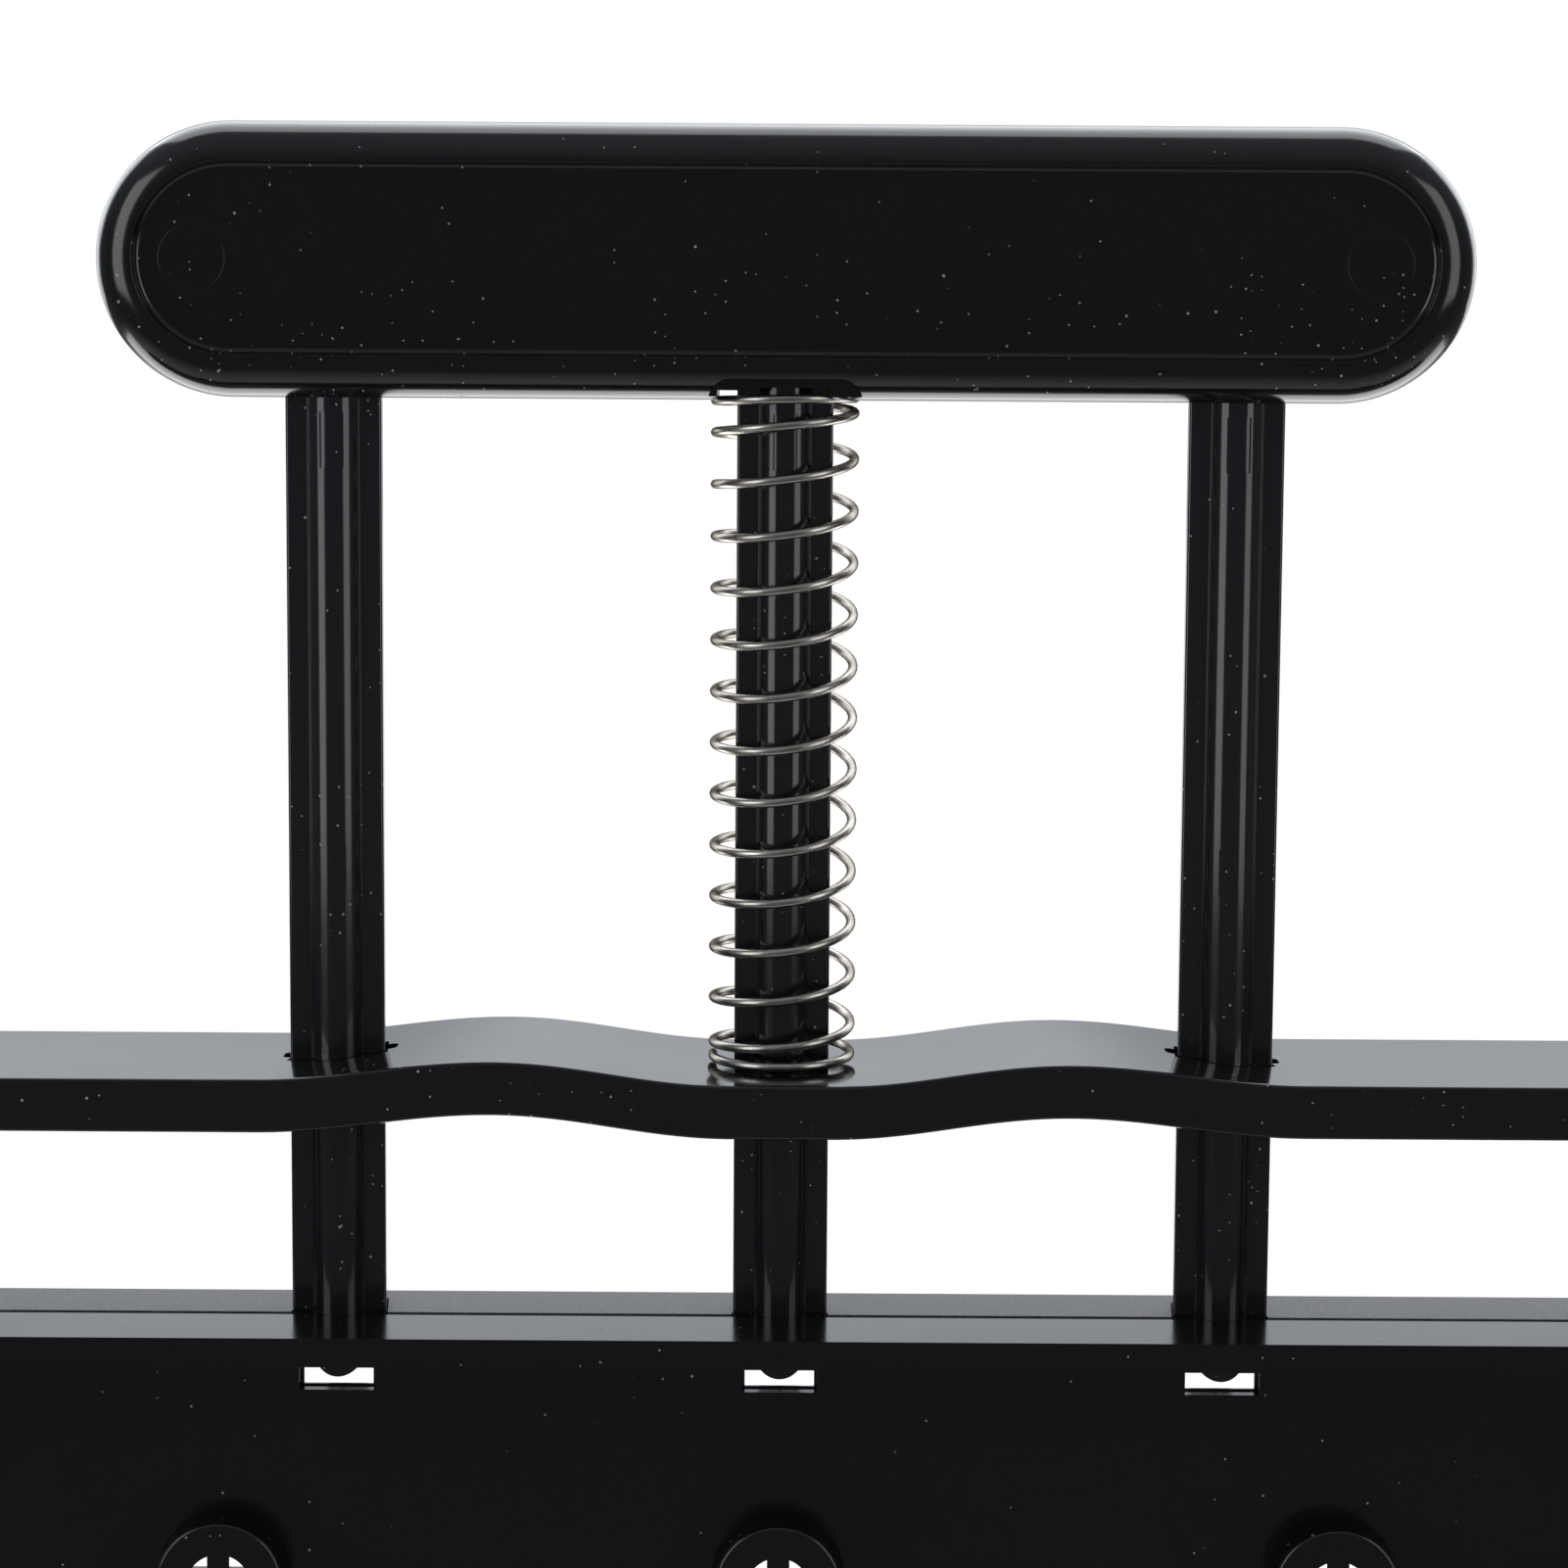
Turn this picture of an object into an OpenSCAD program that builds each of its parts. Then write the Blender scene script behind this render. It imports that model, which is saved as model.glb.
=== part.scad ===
// Hand-held soil blocker for one row of five blocks. A sprung plunger with a wide
// handle and three posts slides through a wavy finger bar and ejects the blocks.
// Frame: millimetres, +Z up, +X along the row, the user faces -Y.
// Origin: centre of the open lower rim that stands on the bench.

/* [Mould] */
// Number of cells in the row
cell_count = 5; // [3:2:7]
// Inner side of one square cell
cell_w = 54; // [46:0.5:58]
// Thickness of the walls round and between the cells
mould_wall = 3.2; // [2.4:0.1:4]
// Height of the mould
mould_h = 58; // [54:0.5:64]
// Thickness of the deck that stops the pistons at the top
deck_t = 3; // [2:0.1:4]
// Side of the square opening in the deck over each cell
deck_opening = 40; // [34:0.5:44]
// Corner radius of the deck openings
deck_corner_r = 6; // [3:0.5:8]
// Corner radius of the mould's outside
mould_corner_r = 4; // [2:0.5:6]
// Height of the thickened cutting rim at the bottom
rim_h = 4; // [3:0.5:6]
// How far the cutting rim stands out of the wall
rim_out = 1.2; // [0.8:0.1:2]
// Width of the outside ribs in line with the inner walls
mould_rib_w = 2.6; // [1.6:0.1:4]
// How far the outside ribs and the top lip stand out
mould_rib_out = 1.8; // [1:0.1:2.5]
// Height of the lip round the top of the mould
lip_h = 3.4; // [2:0.1:5]

/* [Pistons] */
// Height of the upturned edge of a piston, plate included
piston_edge_h = 7; // [5:0.5:10]
// Thickness of the piston plate and its edge
piston_t = 2.2; // [1.6:0.1:3]
// Thickness of the ribs on a piston
piston_rib_t = 1.8; // [1.4:0.1:2.6]
// Width of the stem's two flanges
stem_w = 16; // [12:0.5:20]
// Depth of the stem, front flange to back flange
stem_depth = 12.4; // [9:0.2:15]
// Thickness of the stem's flanges and web
stem_t = 2.4; // [1.8:0.1:3]
// Height of the gussets at the foot of the stem
gusset_h = 15; // [8:0.5:24]
// Reach of the gussets along the plate
gusset_reach = 14; // [8:0.5:18]

/* [Dibbers] */
// Length of the seed-hole dibber below the piston
dibber_l = 11; // [6:0.5:16]
// Radius of the dibber at the piston
dibber_r = 8; // [5:0.5:10]
// Radius of the dibber near its tip
dibber_tip_r = 4.6; // [3:0.1:6]
// Radius of the dibber's spigot
dibber_pin_r = 3; // [2:0.1:4]
// Length of the dibber's spigot above the plate
dibber_pin_l = 3; // [2:0.1:5]
// Height of the dibber's straight collar under the piston
dibber_seat_h = 1; // [0.6:0.1:2]

/* [Plunger posts] */
// Distance between neighbouring posts
post_pitch = 45.5; // [43:0.05:48]
// Width of a post across the front of its flat flanges
post_w = 9.75; // [8.5:0.05:11]
// How much narrower each flange is at the back of the post
post_taper = 0.55; // [0.2:0.05:0.8]
// Depth of the flat flanges, front to back
post_depth = 6; // [5:0.1:6.6]
// Width of the rounded bead down the middle of each face
bead_w = 5.2; // [4.4:0.1:5.8]
// How far the bead stands out of the flange
bead_out = 1.7; // [1.2:0.1:2]
// Width of the wider head and foot that lock a post
post_lock_w = 14; // [12.5:0.1:15]
// Height of the locking foot of a post
post_foot_h = 1.8; // [1.4:0.1:2.2]
// Height of the locking head of a post
post_head_h = 4; // [3:0.1:6]
// How far a bead's round end reaches below the top of the carrier
bead_drop = 6.4; // [6:0.05:6.8]

/* [Handle] */
// Length of the handle over its round ends
handle_l = 137.5; // [130:0.5:146]
// Height of the handle
handle_h = 27.3; // [25:0.1:28]
// Depth of the handle, front to back
handle_depth = 18; // [17.6:0.1:19]
// Radius of the rounded edge on both faces
handle_edge_r = 4.3; // [3.8:0.1:5]
// Distance of the sunk panel from the outline
panel_inset = 4.3; // [4:0.1:6]
// Depth of the sunk panel
panel_sink = 1.2; // [0.6:0.1:1.6]
// Thickness of the handle shells
handle_wall = 2.3; // [1.9:0.1:2.6]
// Distance of the outer screws from the handle's ends
handle_screw_end = 9.95; // [9:0.05:12]
// Outer radius of the screw posts in the handle
handle_boss_r = 3.4; // [3:0.1:3.8]
// Thickness of the ribs inside the handle
handle_rib_t = 1.6; // [1.2:0.1:2]
// Height from the bench to the underside of the handle
handle_z = 242.1; // [240:0.1:246]

/* [Finger bar] */
// Height from the bench to the flat top of the finger bar
bar_z = 174.5; // [173:0.05:176]
// Thickness of the finger bar
bar_t = 5.45; // [4.4:0.05:6.4]
// Depth of the finger bar, front to back
bar_depth = 27; // [24:0.5:32]
// Height of the two finger crests over the flats
crest_h = 1.9; // [1:0.05:3]
// Drop of the middle of the bar below the flats
trough_drop = 0.4; // [0:0.05:0.8]
// Distance of each crest from the middle
crest_x = 29; // [28:0.5:32]
// Run of the wave from a crest inwards
wave_in = 24; // [21:0.5:26]
// Run of the wave from a crest outwards
wave_out = 23.5; // [19:0.5:26]
// Length of the bar's down-turned ends
bar_end_drop = 14; // [12:0.5:15]
// Outer radius of the bend at the bar's ends
bar_bend_r = 9; // [7:0.5:10]
// Radius of the small reliefs at both ends of a post slot
slot_tip_r = 1.4; // [0.8:0.1:1.8]
// How far the slot's reliefs reach past the post
slot_tip_out = 0.8; // [0.5:0.05:1.2]

/* [Carrier] */
// Height from the bench to the top of the carrier
carrier_z = 148.2; // [147:0.1:150]
// Front of the carrier's shelf, from the middle plane
shelf_front = 13.8; // [13:0.1:16]
// Thickness of the shelf
shelf_t = 2.95; // [2.2:0.05:3.2]
// Thickness of the upright web
web_t = 2.2; // [1.8:0.1:2.6]
// Height of the web and shelf together
web_h = 40.2; // [39.6:0.1:40.8]
// Width of the window under each post
window_w = 7.75; // [6.5:0.05:8.4]
// Depth of the windows' lower edge below the top of the carrier
window_low = 7.6; // [7:0.05:8]
// Back of the rail, from the middle plane
rail_back = 6.2; // [6:0.1:8]
// Thickness of the rail
rail_t = 4.2; // [4:0.05:4.6]
// Width of the rail's screw ears
ear_w = 10; // [8:0.5:12]
// Reach of the ears below the rail
ear_drop = 12; // [11:0.5:14]
// Thickness of the ears
ear_t = 2.4; // [2:0.1:3]
// Distance of the outer ears from the rail's ends
ear_end = 10; // [8:0.5:12]

/* [Bosses] */
// Depth of the boss centres below the top of the carrier
boss_drop = 26.95; // [26:0.05:28]
// Radius of a boss at its front
boss_r = 6.5; // [6:0.1:7]
// Radius of a boss at the web
boss_base_r = 6.9; // [6.5:0.1:7.4]
// How far a boss stands out of the web
boss_out = 4.5; // [3.5:0.1:5.5]
// Inner radius of the hollow boss
boss_cup_r = 5.2; // [4.8:0.1:5.4]
// Thickness of the boss's front
boss_face_t = 1.3; // [1:0.1:1.8]
// Radius of the hole in the boss's front
boss_hole_r = 3.25; // [2.6:0.05:3.8]
// Width of the upright bar across that hole
boss_bar_w = 2.3; // [1.4:0.1:2.6]
// How far the flat top of the stem's spigot lies below the boss's centre
spigot_flat = 1; // [0.6:0.1:2]

/* [Legs] */
// Thickness of the leg's plate
leg_t = 3; // [2.4:0.1:4]
// Height of the two ribs along the leg's edges
leg_rib_out = 4.6; // [3:0.1:6]
// Thickness of the leg's ribs
leg_rib_t = 2.6; // [2:0.1:3.2]
// Height from the bench to the foot of the leg
leg_z = 8; // [6:0.5:10]
// Distance between the leg's cross ribs
leg_rib_pitch = 25; // [18:0.5:34]
// Corner radius at the top and foot of the leg
leg_corner_r = 5; // [3:0.5:7]

/* [Screws] */
// Radius of a screw's shank
screw_r = 1.5; // [1.3:0.05:1.6]
// Radius of a screw's head
screw_head_r = 2.9; // [2.6:0.1:3.1]
// Height of a screw's head
screw_head_h = 1.9; // [1.5:0.1:2.1]
// Outer radius of the screw bosses on the web
screw_boss_r = 3.1; // [2.8:0.1:3.4]
// Length of those screw bosses in front of the web
screw_boss_out = 3.4; // [2.8:0.1:4]
// Distance between the two screws at each end of a leg
leg_screw_pitch = 14; // [12:0.5:16]
// Height from the bench to the leg's lower screws
leg_screw_z = 26; // [22:0.5:30]

/* [Spring] */
// Outer diameter of the spring
spring_od = 15.1; // [14.8:0.1:15.3]
// Thickness of the spring's wire
wire_d = 0.95; // [0.8:0.05:1]
// Number of turns, closed ends included
spring_turns = 14.5; // [12.5:1:15.5]
// Turn at which the pitch starts to open
open_from = 0.08; // [0.05:0.01:0.1]
// Turn at which the pitch is fully open
open_until = 1.6; // [1.5:0.05:1.7]
// Lean of the middle turns towards the user, in degrees
coil_lean = 12; // [0:1:14]
// Depth of the spring's seat in the handle
seat_depth = 1.25; // [1:0.05:1.5]
// Radial room of the spring in its seat
seat_clear = 0.2; // [0.1:0.05:0.3]
// Gap between the spring's lowest turn and the bar
spring_rest_gap = 0.3; // [0.1:0.05:0.4]
// Gap between the spring's highest turn and its seat
spring_seat_gap = 0.65; // [0.5:0.05:0.75]

/* [Fits] */
// Travel of the plunger
stroke = 48; // [46:0.5:48]
// Gap between a piston and its cell
piston_clear = 0.3; // [0.2:0.05:0.5]
// Gap between a post and its slot in the bar
slide_clear = 0.3; // [0.2:0.05:0.5]
// Gap between fixed pieces that lock together
seat_fit = 0.1; // [0.05:0.01:0.15]
// Gap between a screw and its hole
screw_fit = 0.05; // [0.03:0.01:0.1]
// Gap between the carrier's ends and the legs
guide_clear = 0.6; // [0.4:0.05:1]

/* [Hidden] */

$fn = 64;
eps = 0.01;
plastic = "#1c1c1f";
textured_plastic = "#29292c";
steel = "#b9bbbe";

// Mould
cell_pitch = cell_w + mould_wall;
mould_l = cell_count * cell_pitch + mould_wall;
mould_d = cell_w + 2 * mould_wall;
deck_z = mould_h - deck_t;
function cell_x(i) = (i - (cell_count + 1) / 2) * cell_pitch;

// Pistons at rest under the deck
piston_w = cell_w - 2 * piston_clear;
piston_top = deck_z - piston_clear;
piston_z = piston_top - piston_edge_h;

// Middle plane, flange faces and bead of the posts
flange_y = post_depth / 2;
bead_r = (pow(bead_w / 2, 2) + bead_out * bead_out) / (2 * bead_out);
bead_y = flange_y + bead_out - bead_r;
post_xs = [-post_pitch, 0, post_pitch];

// Handle
handle_r = handle_h / 2;
handle_mid_z = handle_z + handle_r;
handle_half = handle_depth / 2;
panel_y = handle_half - panel_sink;
post_top = handle_z + handle_h - handle_wall - seat_fit;
post_head_z = handle_z + handle_wall + seat_fit;
handle_screw_x = handle_l / 2 - handle_screw_end;
handle_screw_xs = [-handle_screw_x, -post_pitch / 2, post_pitch / 2, handle_screw_x];

// Carrier
seam_y = -flange_y;
web_back = seam_y - seat_fit;
web_front = web_back - web_t;
web_bottom = carrier_z - web_h;
carrier_half = mould_l / 2 - guide_clear;
boss_z = carrier_z - boss_drop;
boss_front = web_front - boss_out;
rail_bottom = carrier_z - rail_t;
ear_inner_x = (cell_count / 2 - 1) * cell_pitch;
ear_outer_x = carrier_half - ear_end;
ear_xs = [-ear_outer_x, -ear_inner_x, ear_inner_x, ear_outer_x];
ear_screw_z = rail_bottom - ear_drop / 2;

// Stems of the pistons, behind the web
stem_front = seam_y;
stem_back = stem_front + stem_depth;
stem_top = boss_z - boss_cup_r;
stem_screw_z = (web_bottom + stem_top) / 2;
spigot_r = boss_cup_r - seat_fit;
spigot_top = boss_z - spigot_flat;

// Bar and legs
bar_half = mould_l / 2;
bar_low = bar_z - bar_t;
bar_screw_z = bar_low - bar_end_drop / 2;
leg_x = mould_l / 2;
leg_top = bar_z - bar_bend_r + leg_corner_r;

// Spring, from its lowest turn's centre line to its highest
spring_r = (spring_od - wire_d) / 2;
spring_low = bar_z - trough_drop + spring_rest_gap + wire_d / 2;
spring_high = handle_z + seat_depth - spring_seat_gap - wire_d / 2;
spring_lead = (spring_high - spring_low) / (spring_turns - open_from - open_until);
rings_per_turn = 8;
tube_sides = 6;

// ---------------------------------------------------------------- shared shapes

// Rectangle with round corners, centred
module round_rect(w, d, r) {
    square([w - 2 * r, d], center = true);
    square([w, d - 2 * r], center = true);
    for (x = [-1, 1], y = [-1, 1])
        translate([x * (w / 2 - r), y * (d / 2 - r)]) circle(r);
}

// Block standing on z, centred in x and y
module block(w, d, h) {
    translate([-w / 2, -d / 2, 0]) cube([w, d, h]);
}

// Cylinder along +Y from the plane y = from to the plane y = to
module rod_y(r, from, to) {
    translate([0, to, 0]) rotate([90, 0, 0]) cylinder(r = r, h = to - from);
}

// Screw with its head's seat at the origin, its head towards +Z
module screw(length) {
    rotate_extrude() {
        translate([0, -length]) square([screw_r, length]);
        intersection() {
            square([screw_head_r, screw_head_h]);
            translate([0, screw_head_h - head_dome_r()]) circle(head_dome_r(), $fn = 96);
        }
    }
}
function head_dome_r() = (pow(screw_head_r, 2) + pow(screw_head_h * 0.6, 2)) / (1.2 * screw_head_h);

// ---------------------------------------------------------------- mould

module mould() {
    color(plastic) {
        difference() {
            union() {
                linear_extrude(mould_h) round_rect(mould_l, mould_d, mould_corner_r);
                linear_extrude(rim_h)
                    round_rect(mould_l + 2 * rim_out, mould_d + 2 * rim_out, mould_corner_r + rim_out);
                mould_side_ribs();
            }
            for (i = [1 : cell_count]) translate([cell_x(i), 0, 0]) cell_space();
            for (side = [-1, 1], z = leg_screw_zs())
                translate([side * (leg_x + eps), 0, z])
                    rotate([0, -side * 90, 0])
                        cylinder(r = screw_r + screw_fit, h = mould_wall + 2 * eps);
        }
    }
}

// Cell below the deck, and the opening in the deck above it
module cell_space() {
    translate([0, 0, -eps]) block(cell_w, cell_w, deck_z + eps);
    translate([0, 0, deck_z - eps])
        linear_extrude(deck_t + 2 * eps) round_rect(deck_opening, deck_opening, deck_corner_r);
}

// Upright ribs in line with the inner walls, and the lip along both long sides
module mould_side_ribs() {
    for (side = [-1, 1]) {
        for (i = [1 : cell_count - 1])
            translate([cell_x(i) + cell_pitch / 2, side * mould_d / 2, 0])
                block(mould_rib_w, 2 * mould_rib_out, mould_h);
        translate([0, side * mould_d / 2, mould_h - lip_h])
            block(mould_l - 2 * mould_corner_r, 2 * mould_rib_out, lip_h);
    }
}

// ---------------------------------------------------------------- legs

function leg_screw_zs() = [leg_screw_z, leg_screw_z + leg_screw_pitch];
leg_screw_grip = leg_t + mould_wall;
bar_screw_grip = leg_t + bar_t;

// Plate with edge ribs and cross ribs, open to the outside; side is -1 or 1
module leg(side) {
    color(plastic)
        translate([side * leg_x, 0, 0])
            mirror([side < 0 ? 1 : 0, 0, 0])
                difference() {
                    leg_body();
                    leg_holes();
                }
}

module leg_body() {
    leg_h = leg_top - leg_z;
    translate([0, 0, leg_z + leg_h / 2]) {
        rotate([90, 0, 90]) linear_extrude(leg_t) round_rect(bar_depth, leg_h, leg_corner_r);
        rotate([90, 0, 90])
            linear_extrude(leg_t + leg_rib_out)
                difference() {
                    round_rect(bar_depth, leg_h, leg_corner_r);
                    round_rect(bar_depth - 2 * leg_rib_t, leg_h - 2 * leg_rib_t, leg_corner_r - leg_rib_t);
                }
    }
    for (z = [leg_first_rib_z : leg_rib_pitch : leg_last_rib_z])
        translate([0, -bar_depth / 2 + leg_rib_t / 2, z - leg_rib_t / 2])
            cube([leg_t + leg_rib_out, bar_depth - leg_rib_t, leg_rib_t]);
}
leg_first_rib_z = leg_screw_z + leg_screw_pitch + screw_head_r + leg_rib_t;
leg_last_rib_z = bar_screw_z - screw_head_r - leg_rib_t;

module leg_holes() {
    for (z = leg_screw_zs()) translate([-eps, 0, z]) rotate([0, 90, 0]) leg_hole();
    for (y = [-1, 1])
        translate([-eps, y * leg_screw_pitch / 2, bar_screw_z]) rotate([0, 90, 0]) leg_hole();
}

module leg_hole() {
    cylinder(r = screw_r + screw_fit, h = leg_t + 2 * eps);
}

module left_leg() { leg(-1); }
module right_leg() { leg(1); }

// Screws from the outside of the legs into the mould's end walls
module leg_screws() {
    color(steel)
        for (side = [-1, 1], z = leg_screw_zs())
            translate([side * (leg_x + leg_t), 0, z])
                rotate([0, side * 90, 0]) screw(leg_screw_grip - 0.4);
}

// Screws from the outside of the legs into the bar's down-turned ends
module bar_screws() {
    color(steel)
        for (side = [-1, 1], y = [-1, 1])
            translate([side * (leg_x + leg_t), y * leg_screw_pitch / 2, bar_screw_z])
                rotate([0, side * 90, 0]) screw(bar_screw_grip - 0.4);
}

// ---------------------------------------------------------------- finger bar

// Height of the bar's top at x: two cosine crests, flats outside, a trough between
function crest_part(d, run) = d < run ? (1 + cos(180 * d / run)) / 2 : 0;
function bar_top(x) =
    let (a = abs(x), d = abs(a - crest_x))
    a >= crest_x
        ? bar_z + crest_h * crest_part(d, wave_out)
        : bar_z - trough_drop + (crest_h + trough_drop) * crest_part(d, wave_in);

wave_step = 1.5;
wave_end = crest_x + wave_out;
wave_xs = [for (x = [-wave_end : wave_step : wave_end]) x];

// Points of an arc in the bar's outline, from one angle to another
bend_steps = 12;
function bend(side, r, from, to) =
    [for (i = [0 : bend_steps])
        let (a = from + (to - from) * i / bend_steps)
        [side * (bar_half - bar_bend_r + r * cos(a)), bar_z - bar_bend_r + r * sin(a)]];

module bar_profile() {
    end_z = bar_low - bar_end_drop;
    inner_r = bar_bend_r - bar_t;
    polygon(concat(
        [[-bar_half, end_z]],
        bend(-1, bar_bend_r, 0, 90),
        [for (x = wave_xs) [x, bar_top(x)]],
        bend(1, bar_bend_r, 90, 0),
        [[bar_half, end_z], [bar_half - bar_t, end_z]],
        bend(1, inner_r, 0, 90),
        [for (i = [len(wave_xs) - 1 : -1 : 0]) [wave_xs[i], bar_top(wave_xs[i]) - bar_t]],
        bend(-1, inner_r, 90, 0),
        [[-bar_half + bar_t, end_z]]
    ));
}

module finger_bar() {
    color(plastic)
        difference() {
            translate([0, bar_depth / 2, 0])
                rotate([90, 0, 0]) linear_extrude(bar_depth) bar_profile();
            for (x = post_xs) translate([x, 0, bar_low - bar_t]) post_slot();
            for (side = [-1, 1], y = [-1, 1])
                translate([side * (bar_half + eps), y * leg_screw_pitch / 2, bar_screw_z])
                    rotate([0, -side * 90, 0])
                        cylinder(r = screw_r + screw_fit, h = bar_t + 2 * eps);
        }
}

// Slot that follows the post's section, with a small round relief at each end
module post_slot() {
    linear_extrude(3 * bar_t + crest_h) {
        post_section(slide_clear);
        for (x = [-1, 1])
            translate([x * (post_w / 2 + slot_tip_out - slot_tip_r), 0]) circle(slot_tip_r);
        square([post_w, 2 * slot_tip_r], center = true);
    }
}

// ---------------------------------------------------------------- posts

// Flat flanges, tapered towards the back and grown by a gap
module flange_section(gap) {
    front = post_w / 2 + gap;
    back = front - post_taper;
    y = flange_y + gap;
    polygon([[-front, -y], [front, -y], [back, y], [-back, y]]);
}

// Flanges with a round bead on the front and the back, grown by a gap
module post_section(gap) {
    flange_section(gap);
    for (y = [-1, 1]) translate([0, y * bead_y]) circle(bead_r + gap);
}

module post(x) {
    foot_z = rail_bottom + seat_fit / 2;
    bead_low = carrier_z - bead_drop;
    color(plastic)
        translate([x, 0, 0]) {
            translate([0, 0, foot_z]) linear_extrude(post_top - foot_z) flange_section(0);
            translate([0, 0, foot_z]) block(post_lock_w, post_depth, post_foot_h);
            translate([0, 0, post_head_z]) block(post_lock_w, post_depth, post_head_h);
            intersection() {
                translate([0, 0, bead_low])
                    linear_extrude(post_top - bead_low)
                        for (y = [-1, 1]) translate([0, y * bead_y]) circle(bead_r);
                round_ended_blank(bead_low);
            }
        }
}

// Upright blank as wide as the bead's circle, with a half-round lower end
module round_ended_blank(low) {
    translate([0, flange_y + bead_out + eps, 0])
        rotate([90, 0, 0])
            linear_extrude(2 * (flange_y + bead_out + eps)) {
                translate([0, low + bead_r]) circle(bead_r);
                translate([-bead_r, low + bead_r]) square([2 * bead_r, post_top - low]);
            }
}

module left_post() { post(-post_pitch); }
module centre_post() { post(0); }
module right_post() { post(post_pitch); }

// ---------------------------------------------------------------- handle

// Half section of the stadium: height from its middle line, against depth
module edge_section(inset, depth, r) {
    out = handle_r - inset;
    square([out - r, depth]);
    square([out, depth - r]);
    translate([out - r, depth - r]) circle(r);
}

// Solid stadium from the parting plane out to the given depth
module stadium(inset, depth, r) {
    straight = handle_l / 2 - handle_r;
    intersection() {
        union() {
            for (side = [-1, 1]) {
                translate([side * straight, 0, 0])
                    rotate([90, 0, 0])
                        rotate_extrude(angle = 360) half_plane() edge_section(inset, depth, r);
            }
            for (flip = [0, 1])
                translate([-straight, 0, 0])
                    mirror([0, 0, flip])
                        rotate([90, 0, 90])
                            linear_extrude(2 * straight)
                                rotate(90) edge_section(inset, depth, r);
        }
        translate([-handle_l / 2, -depth, -handle_r]) cube([handle_l, depth, handle_h]);
    }
}

module half_plane() {
    intersection() {
        children();
        translate([0, -handle_depth]) square(2 * handle_depth);
    }
}

// Front half shell, towards -Y, in place
module handle_half() {
    cavity_depth = panel_y - handle_wall;
    difference() {
        translate([0, 0, handle_mid_z]) {
            difference() {
                stadium(0, handle_half, handle_edge_r);
                translate([0, -panel_y, 0]) panel_cut();
                stadium(handle_wall, cavity_depth, handle_wall);
            }
            handle_inside(cavity_depth);
        }
        for (x = post_xs) translate([x, 0, 0]) handle_post_space();
        translate([0, 0, handle_z - eps])
            cylinder(r = spring_od / 2 + seat_clear, h = seat_depth + eps);
    }
}

// Shallow stadium pocket in the face
module panel_cut() {
    straight = handle_l / 2 - handle_r;
    rotate([90, 0, 0])
        linear_extrude(2 * panel_sink) {
            for (x = [-1, 1]) translate([x * straight, 0]) circle(handle_r - panel_inset);
            square([2 * straight, handle_h - 2 * panel_inset], center = true);
        }
}

// Ribs beside each post and round posts for the screws, rooted in the walls
module handle_inside(cavity_depth) {
    root = handle_wall / 2;
    rib_depth = cavity_depth + root;
    rib_h = handle_h - 2 * root;
    rib_x = post_lock_w / 2 + seat_fit + handle_rib_t / 2;
    for (x = post_xs, side = [-1, 1])
        translate([x + side * rib_x, -rib_depth / 2, -rib_h / 2])
            block(handle_rib_t, rib_depth, rib_h);
    for (x = handle_screw_xs)
        translate([x, 0, 0]) rod_y(handle_boss_r, -rib_depth, 0);
}

// Room for a post, its locking head and its beads
module handle_post_space() {
    translate([0, 0, handle_z - eps])
        linear_extrude(post_top + seat_fit - handle_z + eps) post_section(seat_fit);
    translate([0, 0, post_head_z - seat_fit])
        block(post_lock_w + 2 * seat_fit, post_depth + 2 * seat_fit, post_head_h + 2 * seat_fit);
}

handle_screw_sink = screw_head_h + 0.5;
handle_screw_l = panel_y - handle_screw_sink + panel_y - handle_wall;

module handle_front() {
    color(plastic)
        difference() {
            handle_half();
            for (x = handle_screw_xs)
                translate([x, 0, handle_mid_z]) rod_y(screw_r + screw_fit, -panel_y + handle_wall, eps);
        }
}

module handle_back() {
    color(plastic)
        difference() {
            mirror([0, 1, 0]) handle_half();
            for (x = handle_screw_xs)
                translate([x, 0, handle_mid_z]) {
                    rod_y(screw_r + screw_fit, -eps, handle_half);
                    rod_y(screw_head_r + screw_fit, panel_y - handle_screw_sink, handle_half);
                }
        }
}

// Screws from the back of the handle into its front half
module handle_screws() {
    color(steel)
        for (x = handle_screw_xs)
            translate([x, panel_y - handle_screw_sink, handle_mid_z])
                rotate([-90, 0, 0]) screw(handle_screw_l - 0.4);
}

// ---------------------------------------------------------------- carrier

// Shelf and web in one, with windows under the posts and hollow barred bosses
module carrier_front() {
    color(plastic)
        difference() {
            union() {
                translate([-carrier_half, -shelf_front, carrier_z - shelf_t])
                    cube([2 * carrier_half, shelf_front + web_back, shelf_t]);
                translate([-carrier_half, web_front, web_bottom])
                    cube([2 * carrier_half, web_t, web_h - eps]);
                for (i = [1 : cell_count])
                    translate([cell_x(i), 0, 0]) {
                        translate([0, boss_front, boss_z])
                            rotate([-90, 0, 0])
                                cylinder(r1 = boss_r, r2 = boss_base_r, h = boss_out + eps);
                        translate([0, 0, stem_screw_z]) web_screw_boss();
                    }
                for (x = ear_xs) translate([x, 0, ear_screw_z]) web_screw_boss();
            }
            for (x = post_xs) translate([x, 0, 0]) window_cut();
            for (i = [1 : cell_count]) translate([cell_x(i), 0, boss_z]) boss_hollow();
            for (i = [1 : cell_count]) translate([cell_x(i), 0, stem_screw_z]) web_pilot();
            for (x = ear_xs) translate([x, 0, ear_screw_z]) web_pilot();
        }
}

module web_screw_boss() {
    rod_y(screw_boss_r, web_front - screw_boss_out, web_front + eps);
}

// Blind pilot hole from the back of the web into a screw boss
module web_pilot() {
    rod_y(screw_r + screw_fit, web_front - screw_boss_out + 1, web_back + eps);
}

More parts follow.
